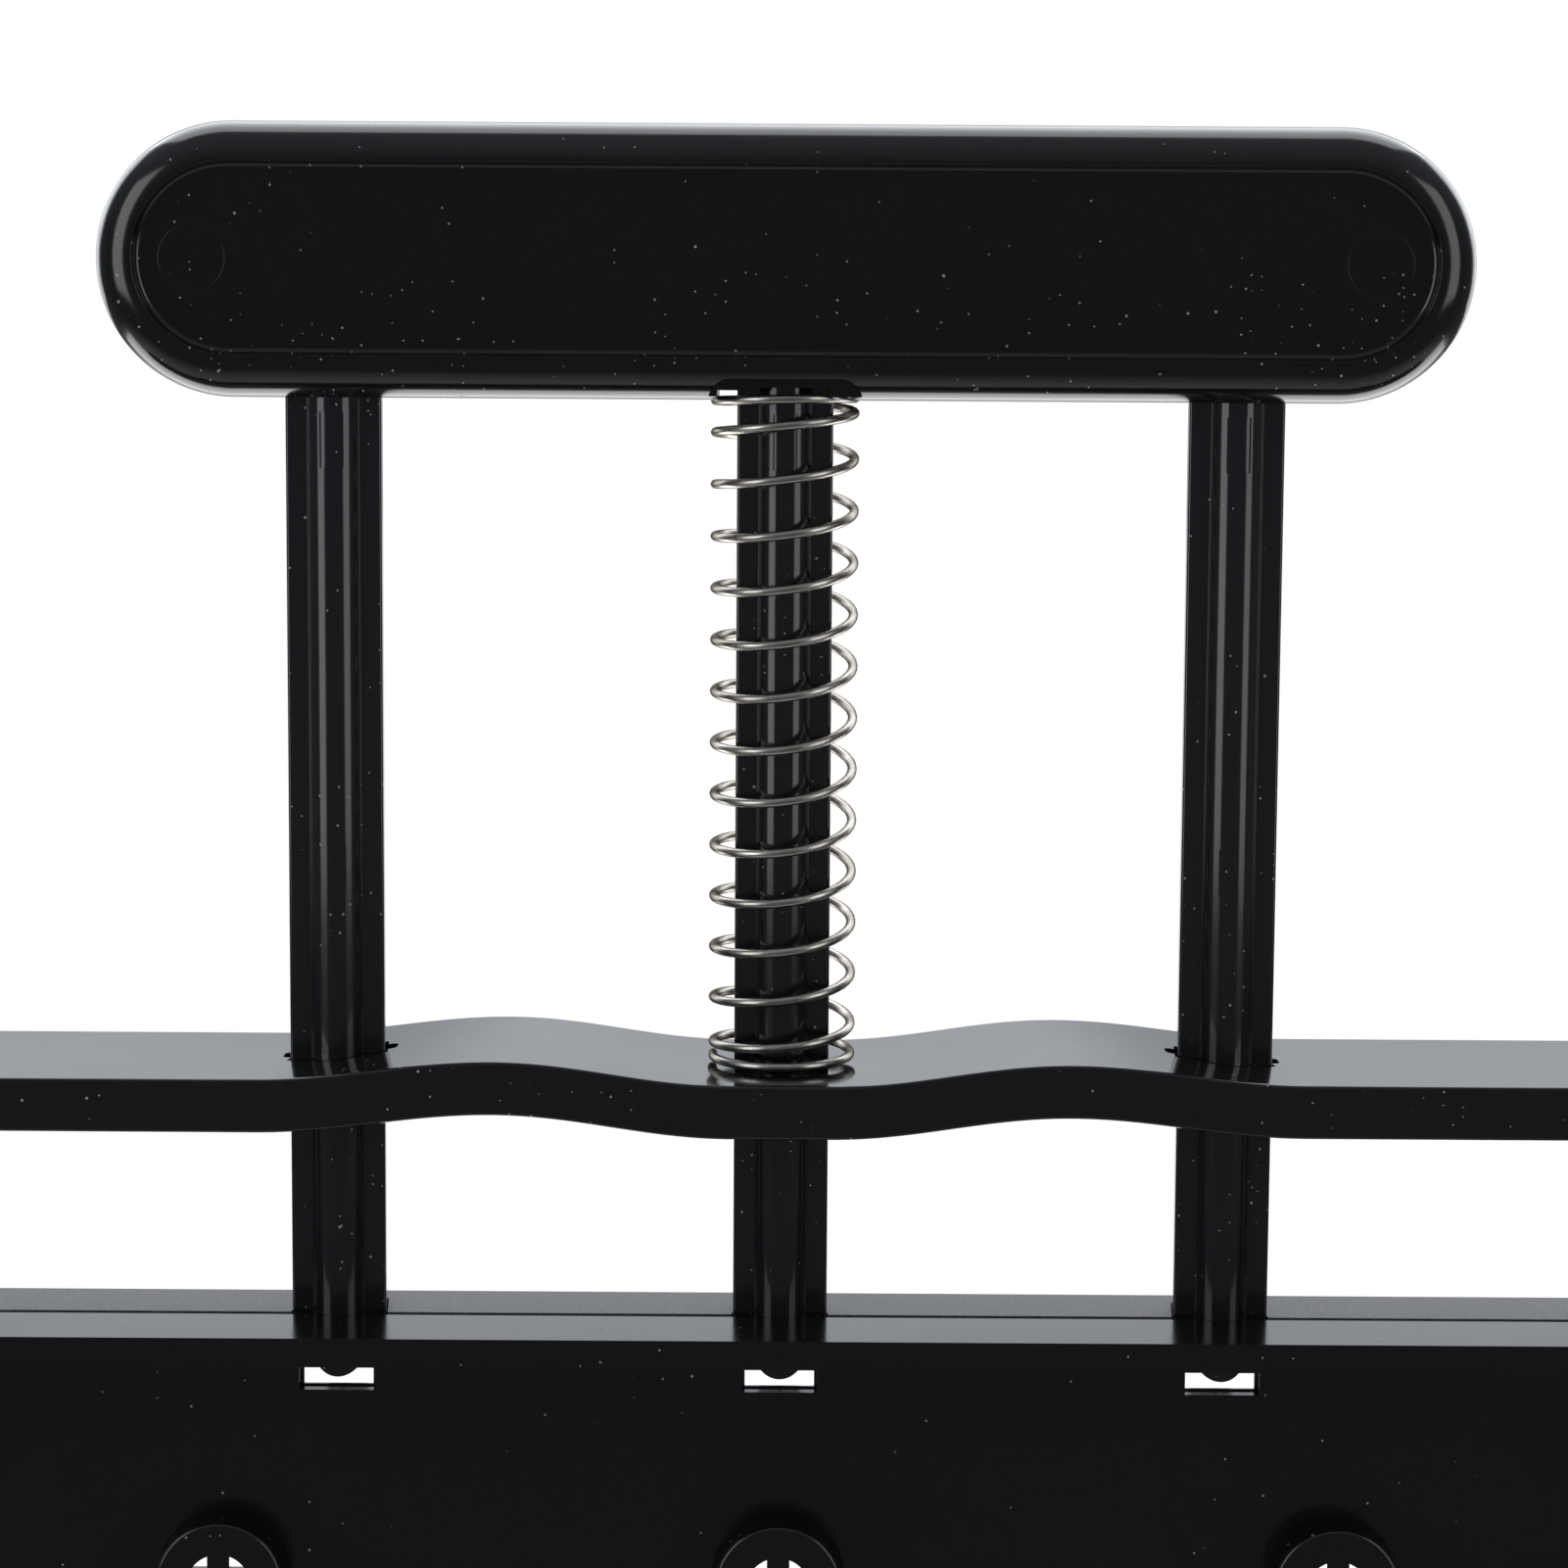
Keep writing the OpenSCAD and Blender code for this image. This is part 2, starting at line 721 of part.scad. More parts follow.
// Window under a post, and the notch that lets the bead through the shelf
module window_cut() {
    translate([-window_w / 2, web_front - eps, carrier_z - window_low])
        cube([window_w, web_t + 2 * eps, window_low - shelf_t]);
    translate([0, 0, carrier_z - shelf_t - eps])
        linear_extrude(shelf_t + 2 * eps) post_section(seat_fit);
}

// Hollow behind a boss, and its round hole with the upright bar left standing
module boss_hollow() {
    rod_y(boss_cup_r, boss_front + boss_face_t, web_back + eps);
    difference() {
        rod_y(boss_hole_r, boss_front - eps, boss_front + boss_face_t + eps);
        translate([-boss_bar_w / 2, boss_front - 2 * eps, -boss_hole_r - eps])
            cube([boss_bar_w, boss_face_t + 4 * eps, 2 * boss_hole_r + 2 * eps]);
    }
}

// Rail behind the seam, with pockets for the feet of the posts and screw ears
module carrier_rail() {
    color(textured_plastic)
        difference() {
            union() {
                translate([-carrier_half, seam_y, rail_bottom])
                    cube([2 * carrier_half, rail_back - seam_y, rail_t]);
                for (x = ear_xs)
                    translate([x - ear_w / 2, seam_y, rail_bottom - ear_drop])
                        cube([ear_w, ear_t, ear_drop + eps]);
            }
            for (x = post_xs) translate([x, 0, 0]) rail_pocket();
            for (x = ear_xs)
                translate([x, 0, ear_screw_z])
                    rod_y(screw_r + screw_fit, seam_y - eps, seam_y + ear_t + eps);
        }
}

// T-shaped pocket, open at the front, so that a post slides in and stays
module rail_pocket() {
    translate([0, 0, rail_bottom - eps])
        linear_extrude(rail_t + 2 * eps) post_section(seat_fit);
    translate([0, seam_y / 2 + (flange_y + seat_fit) / 2 - eps, rail_bottom - eps])
        block(post_lock_w + 2 * seat_fit, post_depth + seat_fit + 2 * eps,
              post_foot_h + seat_fit + eps);
}

// Screws from the back through the ears into the web
module rail_screws() {
    color(steel)
        for (x = ear_xs)
            translate([x, seam_y + ear_t, ear_screw_z]) rotate([-90, 0, 0]) screw(web_screw_l + ear_t);
}
web_screw_l = seat_fit + web_t + screw_boss_out - 1.4;

// ---------------------------------------------------------------- pistons

module piston(i) {
    color(plastic)
        translate([cell_x(i), 0, 0])
            difference() {
                union() {
                    piston_pan();
                    piston_stem();
                }
                translate([0, 0, piston_z - eps])
                    cylinder(r = dibber_pin_r + screw_fit, h = dibber_pin_l + piston_t + seat_fit);
                translate([0, 0, stem_screw_z])
                    rod_y(screw_r + screw_fit, stem_front - eps, stem_front + stem_t + eps);
                translate([0, 0, stem_screw_z])
                    rod_y(screw_head_r + 2 * seat_fit, stem_front + stem_t, stem_back + eps);
            }
}

// Plate with an upturned edge and crossed ribs
module piston_pan() {
    inner = piston_w - 2 * piston_t;
    translate([0, 0, piston_z])
        difference() {
            block(piston_w, piston_w, piston_edge_h);
            translate([0, 0, piston_t]) block(inner, inner, piston_edge_h);
        }
    for (a = [0, 90])
        rotate(a)
            translate([0, 0, piston_z + eps])
                block(inner + 2 * eps, piston_rib_t, piston_edge_h - 2 * eps);
    translate([0, 0, piston_z + eps])
        cylinder(r = dibber_pin_r + piston_t, h = piston_t + dibber_pin_l + 1);
}

// H-section stem behind the web, its locating spigot and its gussets
module piston_stem() {
    stem_low = piston_z + eps;
    stem_h = stem_top - stem_low;
    for (y = [stem_front, stem_back - stem_t])
        translate([-stem_w / 2, y, stem_low]) cube([stem_w, stem_t, stem_h]);
    translate([-stem_t / 2, stem_front, stem_low]) cube([stem_t, stem_depth, stem_h]);
    for (side = [-1, 1])
        translate([0, (stem_front + stem_back) / 2, 0])
            mirror([side < 0 ? 1 : 0, 0, 0]) gusset();
    difference() {
        translate([0, 0, boss_z])
            rod_y(spigot_r, boss_front + boss_face_t + seat_fit, stem_front + stem_t);
        translate([-boss_r, boss_front, spigot_top]) cube([2 * boss_r, boss_out + web_t + 2 * stem_t, boss_r]);
    }
    translate([-stem_t, stem_front, stem_top - stem_t])
        cube([2 * stem_t, stem_t, spigot_top - stem_top + stem_t]);
}

module gusset() {
    foot = piston_z + piston_t - eps;
    translate([0, piston_rib_t / 2, 0])
        rotate([90, 0, 0])
            linear_extrude(piston_rib_t)
                polygon([[0, foot], [stem_w / 2 + gusset_reach, foot],
                         [stem_w / 2 + gusset_reach, foot + piston_rib_t],
                         [stem_w / 2, foot + gusset_h], [0, foot + gusset_h]]);
}

module piston_1() { piston(1); }
module piston_2() { piston(2); }
module piston_3() { piston(3); }
module piston_4() { piston(4); }
module piston_5() { piston(5); }

// Screws from the back through the stems into the web
module piston_screws() {
    color(steel)
        for (i = [1 : cell_count])
            translate([cell_x(i), stem_front + stem_t, stem_screw_z])
                rotate([-90, 0, 0]) screw(web_screw_l + stem_t);
}

// ---------------------------------------------------------------- dibbers

// Outline: spigot, seat, taper and a round nose tangent to the axis
module dibber(i) {
    tip_z = piston_z - dibber_l;
    nose_h = dibber_tip_r * 0.6;
    pin_top = piston_z + piston_t + dibber_pin_l - 0.2;
    nose = [for (a = [0 : 10 : 90]) [dibber_tip_r * cos(a), tip_z + nose_h * (1 - sin(a))]];
    color(plastic)
        translate([cell_x(i), 0, 0])
            rotate_extrude()
                polygon(concat(
                    [[0, pin_top], [dibber_pin_r, pin_top], [dibber_pin_r, piston_z],
                     [dibber_r, piston_z], [dibber_r, piston_z - dibber_seat_h]],
                    nose));
}

module dibber_1() { dibber(1); }
module dibber_2() { dibber(2); }
module dibber_3() { dibber(3); }
module dibber_4() { dibber(4); }
module dibber_5() { dibber(5); }

// ---------------------------------------------------------------- spring

// Drop of the wire below its upper end after u turns: closed ends, even pitch between
function half_drop(u) =
    u < open_from ? 0
    : u < open_until ? spring_lead * pow(u - open_from, 2) / (2 * (open_until - open_from))
    : spring_lead * ((open_until - open_from) / 2 + u - open_until);
function spring_drop(u) =
    u <= spring_turns / 2
        ? half_drop(u)
        : spring_high - spring_low - half_drop(spring_turns - u);

// Centre line: right-handed, starting at +X and running down across the front;
// the turns lean towards the user by an angle that is largest half-way
function lean_at(u) = coil_lean * sin(180 * u / spring_turns);
function coil_point(u) =
    let (y = -spring_r * sin(360 * u), lean = lean_at(u))
    [spring_r * cos(360 * u), y * cos(lean), spring_high - spring_drop(u) + y * sin(lean)];

// The wire's two ends run straight on for one wire thickness
end_steps = [wire_d, wire_d / 2];
coil_us = [for (i = [0 : spring_turns * rings_per_turn]) i / rings_per_turn];
spring_path = concat(
    [for (s = end_steps) coil_point(0) + [0, s, 0]],
    [for (u = coil_us) coil_point(u)],
    [for (s = [wire_d / 2, wire_d]) coil_point(spring_turns) + [0, s, 0]]
);

function unit(v) = v / norm(v);
function tangent(path, i) = unit(path[min(i + 1, len(path) - 1)] - path[max(i - 1, 0)]);
function ring(path, i) =
    let (t = tangent(path, i), side = unit(cross(t, [0, 0, 1])), up = cross(side, t))
    [for (k = [0 : tube_sides - 1])
        path[i] + wire_d / 2 * (cos(360 * k / tube_sides) * side + sin(360 * k / tube_sides) * up)];

module tube(path) {
    n = len(path);
    points = [for (i = [0 : n - 1]) each ring(path, i)];
    skin = [for (i = [0 : n - 2], k = [0 : tube_sides - 1])
        let (a = i * tube_sides + k,
             b = i * tube_sides + (k + 1) % tube_sides,
             c = a + tube_sides,
             d = b + tube_sides)
        each [[a, b, c], [b, d, c]]];
    start_cap = [for (k = [1 : tube_sides - 2]) [0, k + 1, k]];
    last = (n - 1) * tube_sides;
    end_cap = [for (k = [1 : tube_sides - 2]) [last, last + k, last + k + 1]];
    polyhedron(points, concat(skin, start_cap, end_cap));
}

module spring() {
    color(steel) tube(spring_path);
}

// Least gap of the spring to itself, from points most of a turn apart or more
gap_steps = 48;
gap_line = [for (i = [0 : spring_turns * gap_steps]) coil_point(i / gap_steps)];
gap_ends = [for (s = [0 : wire_d / 4 : wire_d])
    each [coil_point(0) + [0, s, 0], coil_point(spring_turns) + [0, s, 0]]];
function turn_gap(i) =
    min([for (j = [i + round(gap_steps * 0.7) : min(i + round(gap_steps * 1.3), len(gap_line) - 1)])
        norm(gap_line[i] - gap_line[j])]);
function end_gap(p, first) =
    min([for (j = [0 : round(gap_steps * 0.6)])
        norm(p - gap_line[first ? round(gap_steps * 0.7) + j : len(gap_line) - 1 - round(gap_steps * 0.7) - j])]);
least_gap = min(concat(
    [for (i = [0 : len(gap_line) - 1 - round(gap_steps * 0.7)]) turn_gap(i)],
    [for (k = [0 : len(gap_ends) - 1]) end_gap(gap_ends[k], k % 2 == 0)]
)) - wire_d;
echo(least_spring_gap_mm = least_gap);

// ---------------------------------------------------------------- the nodes

mould();
left_leg();
right_leg();
finger_bar();
bar_screws();
leg_screws();
spring();
handle_front();
handle_back();
handle_screws();
left_post();
centre_post();
right_post();
carrier_front();
carrier_rail();
rail_screws();
piston_screws();
piston_1();
piston_2();
piston_3();
piston_4();
piston_5();
dibber_1();
dibber_2();
dibber_3();
dibber_4();
dibber_5();
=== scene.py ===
import math

import bmesh
import bpy
from mathutils import Matrix, Vector


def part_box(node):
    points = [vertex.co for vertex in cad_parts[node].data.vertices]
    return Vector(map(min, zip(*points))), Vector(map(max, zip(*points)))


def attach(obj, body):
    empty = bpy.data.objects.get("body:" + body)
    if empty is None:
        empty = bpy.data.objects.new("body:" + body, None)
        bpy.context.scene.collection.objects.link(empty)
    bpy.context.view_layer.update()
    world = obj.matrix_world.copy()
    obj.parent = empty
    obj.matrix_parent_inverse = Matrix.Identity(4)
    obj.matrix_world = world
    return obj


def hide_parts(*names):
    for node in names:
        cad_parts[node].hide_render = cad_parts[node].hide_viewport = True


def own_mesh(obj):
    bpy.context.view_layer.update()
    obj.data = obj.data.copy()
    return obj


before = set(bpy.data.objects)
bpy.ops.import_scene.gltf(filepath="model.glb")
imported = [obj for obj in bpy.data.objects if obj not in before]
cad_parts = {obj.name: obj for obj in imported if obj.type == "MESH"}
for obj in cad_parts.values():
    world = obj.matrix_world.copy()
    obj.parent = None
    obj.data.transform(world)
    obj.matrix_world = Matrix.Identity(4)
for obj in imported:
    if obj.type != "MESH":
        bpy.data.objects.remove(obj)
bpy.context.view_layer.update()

# ------------------------------------------------------------------ sizes, in metres
# X runs along the row of cells, Y from the user to the back, and Z up.

MM = 0.001
FRAME_BODY = "frame"
PLUNGER = "plunger"

# The handle: a stadium in X and Z, in two halves that meet at Y = 0.
HANDLE_LOW, HANDLE_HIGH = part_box("handle_front")
HANDLE_LENGTH = HANDLE_HIGH.x - HANDLE_LOW.x
HANDLE_RADIUS = (HANDLE_HIGH.z - HANDLE_LOW.z) / 2
HANDLE_MID_Z = HANDLE_LOW.z + HANDLE_RADIUS
HANDLE_DEPTH = 9.0 * MM
HANDLE_EDGE = 4.3 * MM
PANEL_SINK = 1.2 * MM
PANEL_FLOOR = HANDLE_DEPTH - PANEL_SINK
PANEL_FILLET = 0.75 * MM
RING_RADIUS = 3.3 * MM
RING_WIDTH = 0.12 * MM
RING_PROUD = 0.012 * MM

# The posts: a flat section with a round bead on its front and back.
POST_PITCH = 45.5 * MM
POST_XS = {"left_post": -POST_PITCH, "centre_post": 0.0, "right_post": POST_PITCH}
POST_WIDTH = 9.75 * MM
POST_TAPER = 0.55 * MM
POST_DEPTH = 6.0 * MM
POST_LOCK_WIDTH = 14.0 * MM
POST_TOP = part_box("centre_post")[1].z
BEAD_WIDTH = 5.2 * MM
BEAD_OUT = 1.7 * MM
BEAD_RADIUS = ((BEAD_WIDTH / 2) ** 2 + BEAD_OUT ** 2) / (2 * BEAD_OUT)
BEAD_Y = POST_DEPTH / 2 + BEAD_OUT - BEAD_RADIUS
BEAD_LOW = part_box("centre_post")[0].z

# The carrier: a shelf and web in front of the seam, and a rail behind it.
CARRIER_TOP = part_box("carrier_rail")[1].z
POST_FOOT = CARRIER_TOP - 4.15 * MM
SEAM_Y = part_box("carrier_rail")[0].y
WEB_BACK = SEAM_Y - 0.1 * MM
WEB_FRONT = WEB_BACK - 2.2 * MM
CELL_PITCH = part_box("piston_2")[0].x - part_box("piston_1")[0].x
BOSS_FRONT = WEB_FRONT - 4.5 * MM
BOSS_RADIUS = 6.5 * MM
BOSS_Z = CARRIER_TOP - 26.95 * MM
WINDOW_HALF = 7.75 * MM / 2
WINDOW_LOW = CARRIER_TOP - 7.6 * MM
WINDOW_HIGH = CARRIER_TOP - 2.95 * MM

# The finger bar: flat outside, with a crest on each side of a shallow trough.
BAR_TOP = 174.5 * MM
BAR_THICKNESS = 5.45 * MM
BAR_DEPTH = 27.0 * MM
BAR_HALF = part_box("finger_bar")[1].x
BAR_BEND = 9.0 * MM
BAR_END_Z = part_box("finger_bar")[0].z
CREST_HEIGHT = 1.9 * MM
CREST_X = 29.0 * MM
TROUGH_DROP = 0.4 * MM
WAVE_IN = 24.0 * MM
WAVE_OUT = 23.5 * MM

# The spring and its seat under the handle; turns are counted from the nearer end.
SEAT_RADIUS = 15.1 * MM / 2 + 0.2 * MM
SEAT_DEPTH = 1.25 * MM
SPRING_RADIUS = 7.075 * MM
WIRE = 0.95 * MM
SPRING_TURNS = 14.5
OPEN_FROM = 0.08
OPEN_UNTIL = 1.6
COIL_LEAN = 12.0
SPRING_LOW = BAR_TOP - TROUGH_DROP + 0.3 * MM + WIRE / 2
SPRING_HIGH = HANDLE_LOW.z + SEAT_DEPTH - 0.52 * MM - WIRE / 2

# The screws.
SCREW_FROM_END = 9.95 * MM
HANDLE_SCREW_X = (HANDLE_LOW.x + SCREW_FROM_END, -POST_PITCH / 2,
                  POST_PITCH / 2, HANDLE_HIGH.x - SCREW_FROM_END)
SCREW_HEAD_RADIUS = 2.9 * MM
SCREW_HEAD_HEIGHT = 1.9 * MM
SCREW_RADIUS = 1.5 * MM
THREAD_PITCH = 0.7 * MM

# What the lamps and the camera look at, and how bright the user's side is in reflections.
TARGET = Vector((0, 0, 0.203))
DIM_SIDE = 0.13

# ------------------------------------------------------------------ small tools


def add_object(name, data):
    """Puts new data into the scene as an object."""
    piece = bpy.data.objects.new(name, data)
    bpy.context.scene.collection.objects.link(piece)
    return piece


def from_bmesh(name, bm):
    """An object with a bmesh's faces, their normals turned outwards."""
    bmesh.ops.recalc_face_normals(bm, faces=bm.faces)
    mesh = bpy.data.meshes.new(name)
    bm.to_mesh(mesh)
    bm.free()
    return add_object(name, mesh)


def apply_modifiers(piece):
    """Bakes a piece's modifiers into its mesh."""
    graph = bpy.context.evaluated_depsgraph_get()
    graph.update()
    mesh = bpy.data.meshes.new_from_object(piece.evaluated_get(graph),
                                           preserve_all_data_layers=True, depsgraph=graph)
    piece.modifiers.clear()
    old = piece.data
    piece.data = mesh
    bpy.data.meshes.remove(old)


def smooth_by_angle(piece, angle):
    """Shades a mesh smooth, with hard lines where faces meet at more than the angle."""
    mesh = piece.data
    bm = bmesh.new()
    bm.from_mesh(mesh)
    limit = math.radians(angle)
    for edge in bm.edges:
        sharp = len(edge.link_faces) == 2 and edge.calc_face_angle(0.0) > limit
        edge.smooth = not sharp
    for face in bm.faces:
        face.smooth = True
    bm.to_mesh(mesh)
    bm.free()
    normals = piece.modifiers.new("normals", "WEIGHTED_NORMAL")
    normals.mode = "FACE_AREA"
    normals.weight = 100
    normals.keep_sharp = True
    apply_modifiers(piece)


def loft(loops, closed=True):
    """A bmesh skin over a list of closed loops with as many points each."""
    bm = bmesh.new()
    rings = [[bm.verts.new(point) for point in loop] for loop in loops]
    count = len(rings[0])
    for first, second in zip(rings, rings[1:]):
        for i in range(count):
            j = (i + 1) % count
            bm.faces.new((first[i], first[j], second[j], second[i]))
    if closed:
        bm.faces.new(list(reversed(rings[0])))
        bm.faces.new(rings[-1])
    return bm


def cut(piece, cutter):
    """Takes a cutter object away from a piece and deletes the cutter."""
    modifier = piece.modifiers.new("cut", "BOOLEAN")
    modifier.operation = "DIFFERENCE"
    modifier.solver = "EXACT"
    modifier.object = cutter
    apply_modifiers(piece)
    bpy.data.objects.remove(cutter)


def bevel(piece, width):
    """Rounds the sharp edges of a mesh."""
    modifier = piece.modifiers.new("edges", "BEVEL")
    modifier.width = width
    modifier.segments = 2
    modifier.limit_method = "ANGLE"
    modifier.angle_limit = math.radians(30.0)
    modifier.use_clamp_overlap = True
    apply_modifiers(piece)


def axis_turn(along):
    """The rotation that takes Z to a direction."""
    return Vector(along).to_track_quat("Z", "Y").to_matrix()


def ring(base, turn, radius, far, sides):
    """Points of a circle, at a distance from the base along a turned axis."""
    return [base + turn @ Vector((radius * math.cos(a), radius * math.sin(a), far))
            for a in (2 * math.pi * i / sides for i in range(sides))]


def turned(name, profile, base, along, sides=48):
    """A turned piece: (radius, distance) pairs from the base along an axis, closed at its ends."""
    base, turn = Vector(base), axis_turn(along)
    return from_bmesh(name, loft([ring(base, turn, radius, far, sides) for radius, far in profile]))


def cylinder(name, radius, start, end, sides):
    """A closed cylinder between two points."""
    start, end = Vector(start), Vector(end)
    turn = axis_turn((end - start).normalized())
    return from_bmesh(name, loft([ring(base, turn, radius, 0, sides) for base in (start, end)]))


def box_piece(name, low, high):
    """A box between its lowest and highest corners."""
    low, high = Vector(low), Vector(high)
    bm = bmesh.new()
    bmesh.ops.create_cube(bm, size=1.0)
    size = high - low
    middle = (high + low) / 2
    for vert in bm.verts:
        vert.co = Vector((vert.co.x * size.x, vert.co.y * size.y, vert.co.z * size.z)) + middle
    return from_bmesh(name, bm)


def join(piece, *others):
    """Adds the other objects' meshes to the piece and deletes them."""
    bm = bmesh.new()
    for part in (piece, *others):
        bm.from_mesh(part.data)
    bm.to_mesh(piece.data)
    bm.free()
    for part in others:
        bpy.data.objects.remove(part)


def rounded(points, radii, steps):
    """A closed 2-D outline with each corner replaced by an arc of its own radius."""
    out = []
    count = len(points)
    for i, (point, radius) in enumerate(zip(points, radii)):
        here = Vector(point)
        if radius == 0.0:
            out.append(here)
            continue
        back = (Vector(points[i - 1]) - here).normalized()
        ahead = (Vector(points[(i + 1) % count]) - here).normalized()
        half = back.angle(ahead) / 2
        centre = here + (back + ahead).normalized() * (radius / math.sin(half))
        first = here + back * (radius / math.tan(half)) - centre
        last = here + ahead * (radius / math.tan(half)) - centre
        start = math.atan2(first.y, first.x)
        sweep = (math.atan2(last.y, last.x) - start + math.pi) % (2 * math.pi) - math.pi
        for k in range(steps + 1):
            a = start + sweep * k / steps
            out.append(centre + radius * Vector((math.cos(a), math.sin(a))))
    return out


def prism(name, outline, low, high):
    """An upright prism over a closed outline in X and Y."""
    loops = [[Vector((p[0], p[1], z)) for p in outline] for z in (low, high)]
    return from_bmesh(name, loft(loops))


def paint(piece, material):
    piece.data.materials.clear()
    piece.data.materials.append(material)


def finish_piece(piece, body, node, slot, material, angle=35.0):
    """Shades and paints a piece that stands for a CAD node, puts it on its body and hides the node.
    """
    smooth_by_angle(piece, angle)
    paint(piece, material)
    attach(piece, body)
    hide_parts(node)


def welded_bmesh(mesh, distance):
    """A bmesh of a mesh with points closer than the distance made one."""
    bm = bmesh.new()
    bm.from_mesh(mesh)
    bmesh.ops.remove_doubles(bm, verts=bm.verts, dist=distance)
    return bm


def dressed_copy(node, width):
    """The CAD node's shape with its edges rounded, or left sharp where the width is 0."""
    piece = add_object(node + "_moulding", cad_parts[node].data.copy())
    bm = welded_bmesh(piece.data, 0.002 * MM)
    bm.to_mesh(piece.data)
    bm.free()
    if width:
        bevel(piece, width)
    return piece


# ------------------------------------------------------------------ materials


class Shader:
    """A few words for building a node material."""

    # A Mix node keeps sockets for every data type; these are the ones for colours.
    MIX_A, MIX_B, MIX_RESULT = 6, 7, 2

    def __init__(self, name):
        self.material = bpy.data.materials.new(name)
        self.material.use_nodes = True
        self.tree = self.material.node_tree
        self.bsdf = self.tree.nodes["Principled BSDF"]

    def node(self, kind, **values):
        """A new node; each value goes to the input of that name, or else to the property."""
        node = self.tree.nodes.new(kind)
        for key, value in values.items():
            if key in node.inputs:
                node.inputs[key].default_value = value
            else:
                setattr(node, key, value)
        return node

    def link(self, source, target):
        self.tree.links.new(source, target)

    def feed(self, socket, value):
        """Sets a socket to a number or colour, or links it to another node's output."""
        if isinstance(value, (int, float, tuple)):
            socket.default_value = value
        else:
            self.link(value, socket)

    def coordinates(self):
        return self.node("ShaderNodeTexCoord").outputs["Object"]

    def split(self, vector):
        """The X, Y and Z outputs of a vector."""
        node = self.node("ShaderNodeSeparateXYZ")
        self.link(vector, node.inputs[0])
        return node.outputs[0], node.outputs[1], node.outputs[2]

    def noise(self, scale, detail=2.0, roughness=0.5):
        noise = self.node("ShaderNodeTexNoise", Scale=scale, Detail=detail, Roughness=roughness)
        self.link(self.coordinates(), noise.inputs["Vector"])
        return noise.outputs["Fac"]

    def remap(self, value, low, high, to_low=0.0, to_high=1.0):
        """A value taken from one range to another, and held at its ends."""
        node = self.node("ShaderNodeMapRange")
        node.clamp = True
        self.link(value, node.inputs["Value"])
        node.inputs["From Min"].default_value = low
        node.inputs["From Max"].default_value = high
        node.inputs["To Min"].default_value = to_low
        node.inputs["To Max"].default_value = to_high
        return node.outputs["Result"]

    def math(self, operation, a, b):
        node = self.node("ShaderNodeMath", operation=operation)
        self.feed(node.inputs[0], a)
        self.feed(node.inputs[1], b)
        return node.outputs[0]

    def mix(self, factor, a, b):
        """Colour a where the factor is 0, colour b where it is 1."""
        node = self.node("ShaderNodeMix", data_type="RGBA")
        self.link(factor, node.inputs[0])
        self.feed(node.inputs[self.MIX_A], a)
        self.feed(node.inputs[self.MIX_B], b)
        return node.outputs[self.MIX_RESULT]

    def mix_shaders(self, factor, a, b):
        """Shader a where the factor is 0, shader b where it is 1."""
        node = self.node("ShaderNodeMixShader")
        for socket, output in zip(node.inputs, (factor, a, b)):
            self.link(output, socket)
        return node.outputs[0]

    def bump(self, height, distance, strength, normal=None):
        node = self.node("ShaderNodeBump", Strength=strength, Distance=distance)
        self.link(height, node.inputs["Height"])
        if normal is not None:
            self.link(normal, node.inputs["Normal"])
        return node.outputs["Normal"]

    def set_surface(self, colour, roughness, normal):
        """Links outputs to the main sockets of the Principled shader."""
        self.link(colour, self.bsdf.inputs["Base Color"])
        self.link(roughness, self.bsdf.inputs["Roughness"])
        self.link(normal, self.bsdf.inputs["Normal"])

    def flat_coordinates(self):
        """Object coordinates dropped onto the plane that a face lies nearest to."""
        x, y, z = self.split(self.coordinates())
        facing = self.split(self.node("ShaderNodeTexCoord").outputs["Normal"])
        planes = []
        for first, second in ((x, y), (y, z), (x, z)):
            plane = self.node("ShaderNodeCombineXYZ")
            self.link(first, plane.inputs[0])
            self.link(second, plane.inputs[1])
            planes.append(plane.outputs[0])
        level, sideways, upright = planes
        nearest = 0.7
        faces_x, faces_y = (
            self.math("GREATER_THAN", self.math("ABSOLUTE", facing[k], 0.0), nearest)
            for k in range(2))
        return self.mix(faces_y, self.mix(faces_x, level, sideways), upright)

    def specks(self, scale, size, share, where):
        """Small dots, one here and there: 1 on a dot, 0 elsewhere; where thins them out."""
        cells = self.node("ShaderNodeTexVoronoi", Scale=scale, Randomness=1.0,
                          voronoi_dimensions="2D")
        self.link(self.flat_coordinates(), cells.inputs["Vector"])
        parts = self.node("ShaderNodeSeparateColor")
        self.link(cells.outputs["Color"], parts.inputs["Color"])
        smallest = 0.35
        width = self.math("MULTIPLY", self.math("ADD", parts.outputs["Green"], smallest), size)
        dot = self.math("LESS_THAN", cells.outputs["Distance"], width)
        chosen = self.math("LESS_THAN", parts.outputs["Red"], self.math("MULTIPLY", where, share))
        return self.math("MULTIPLY", dot, chosen)


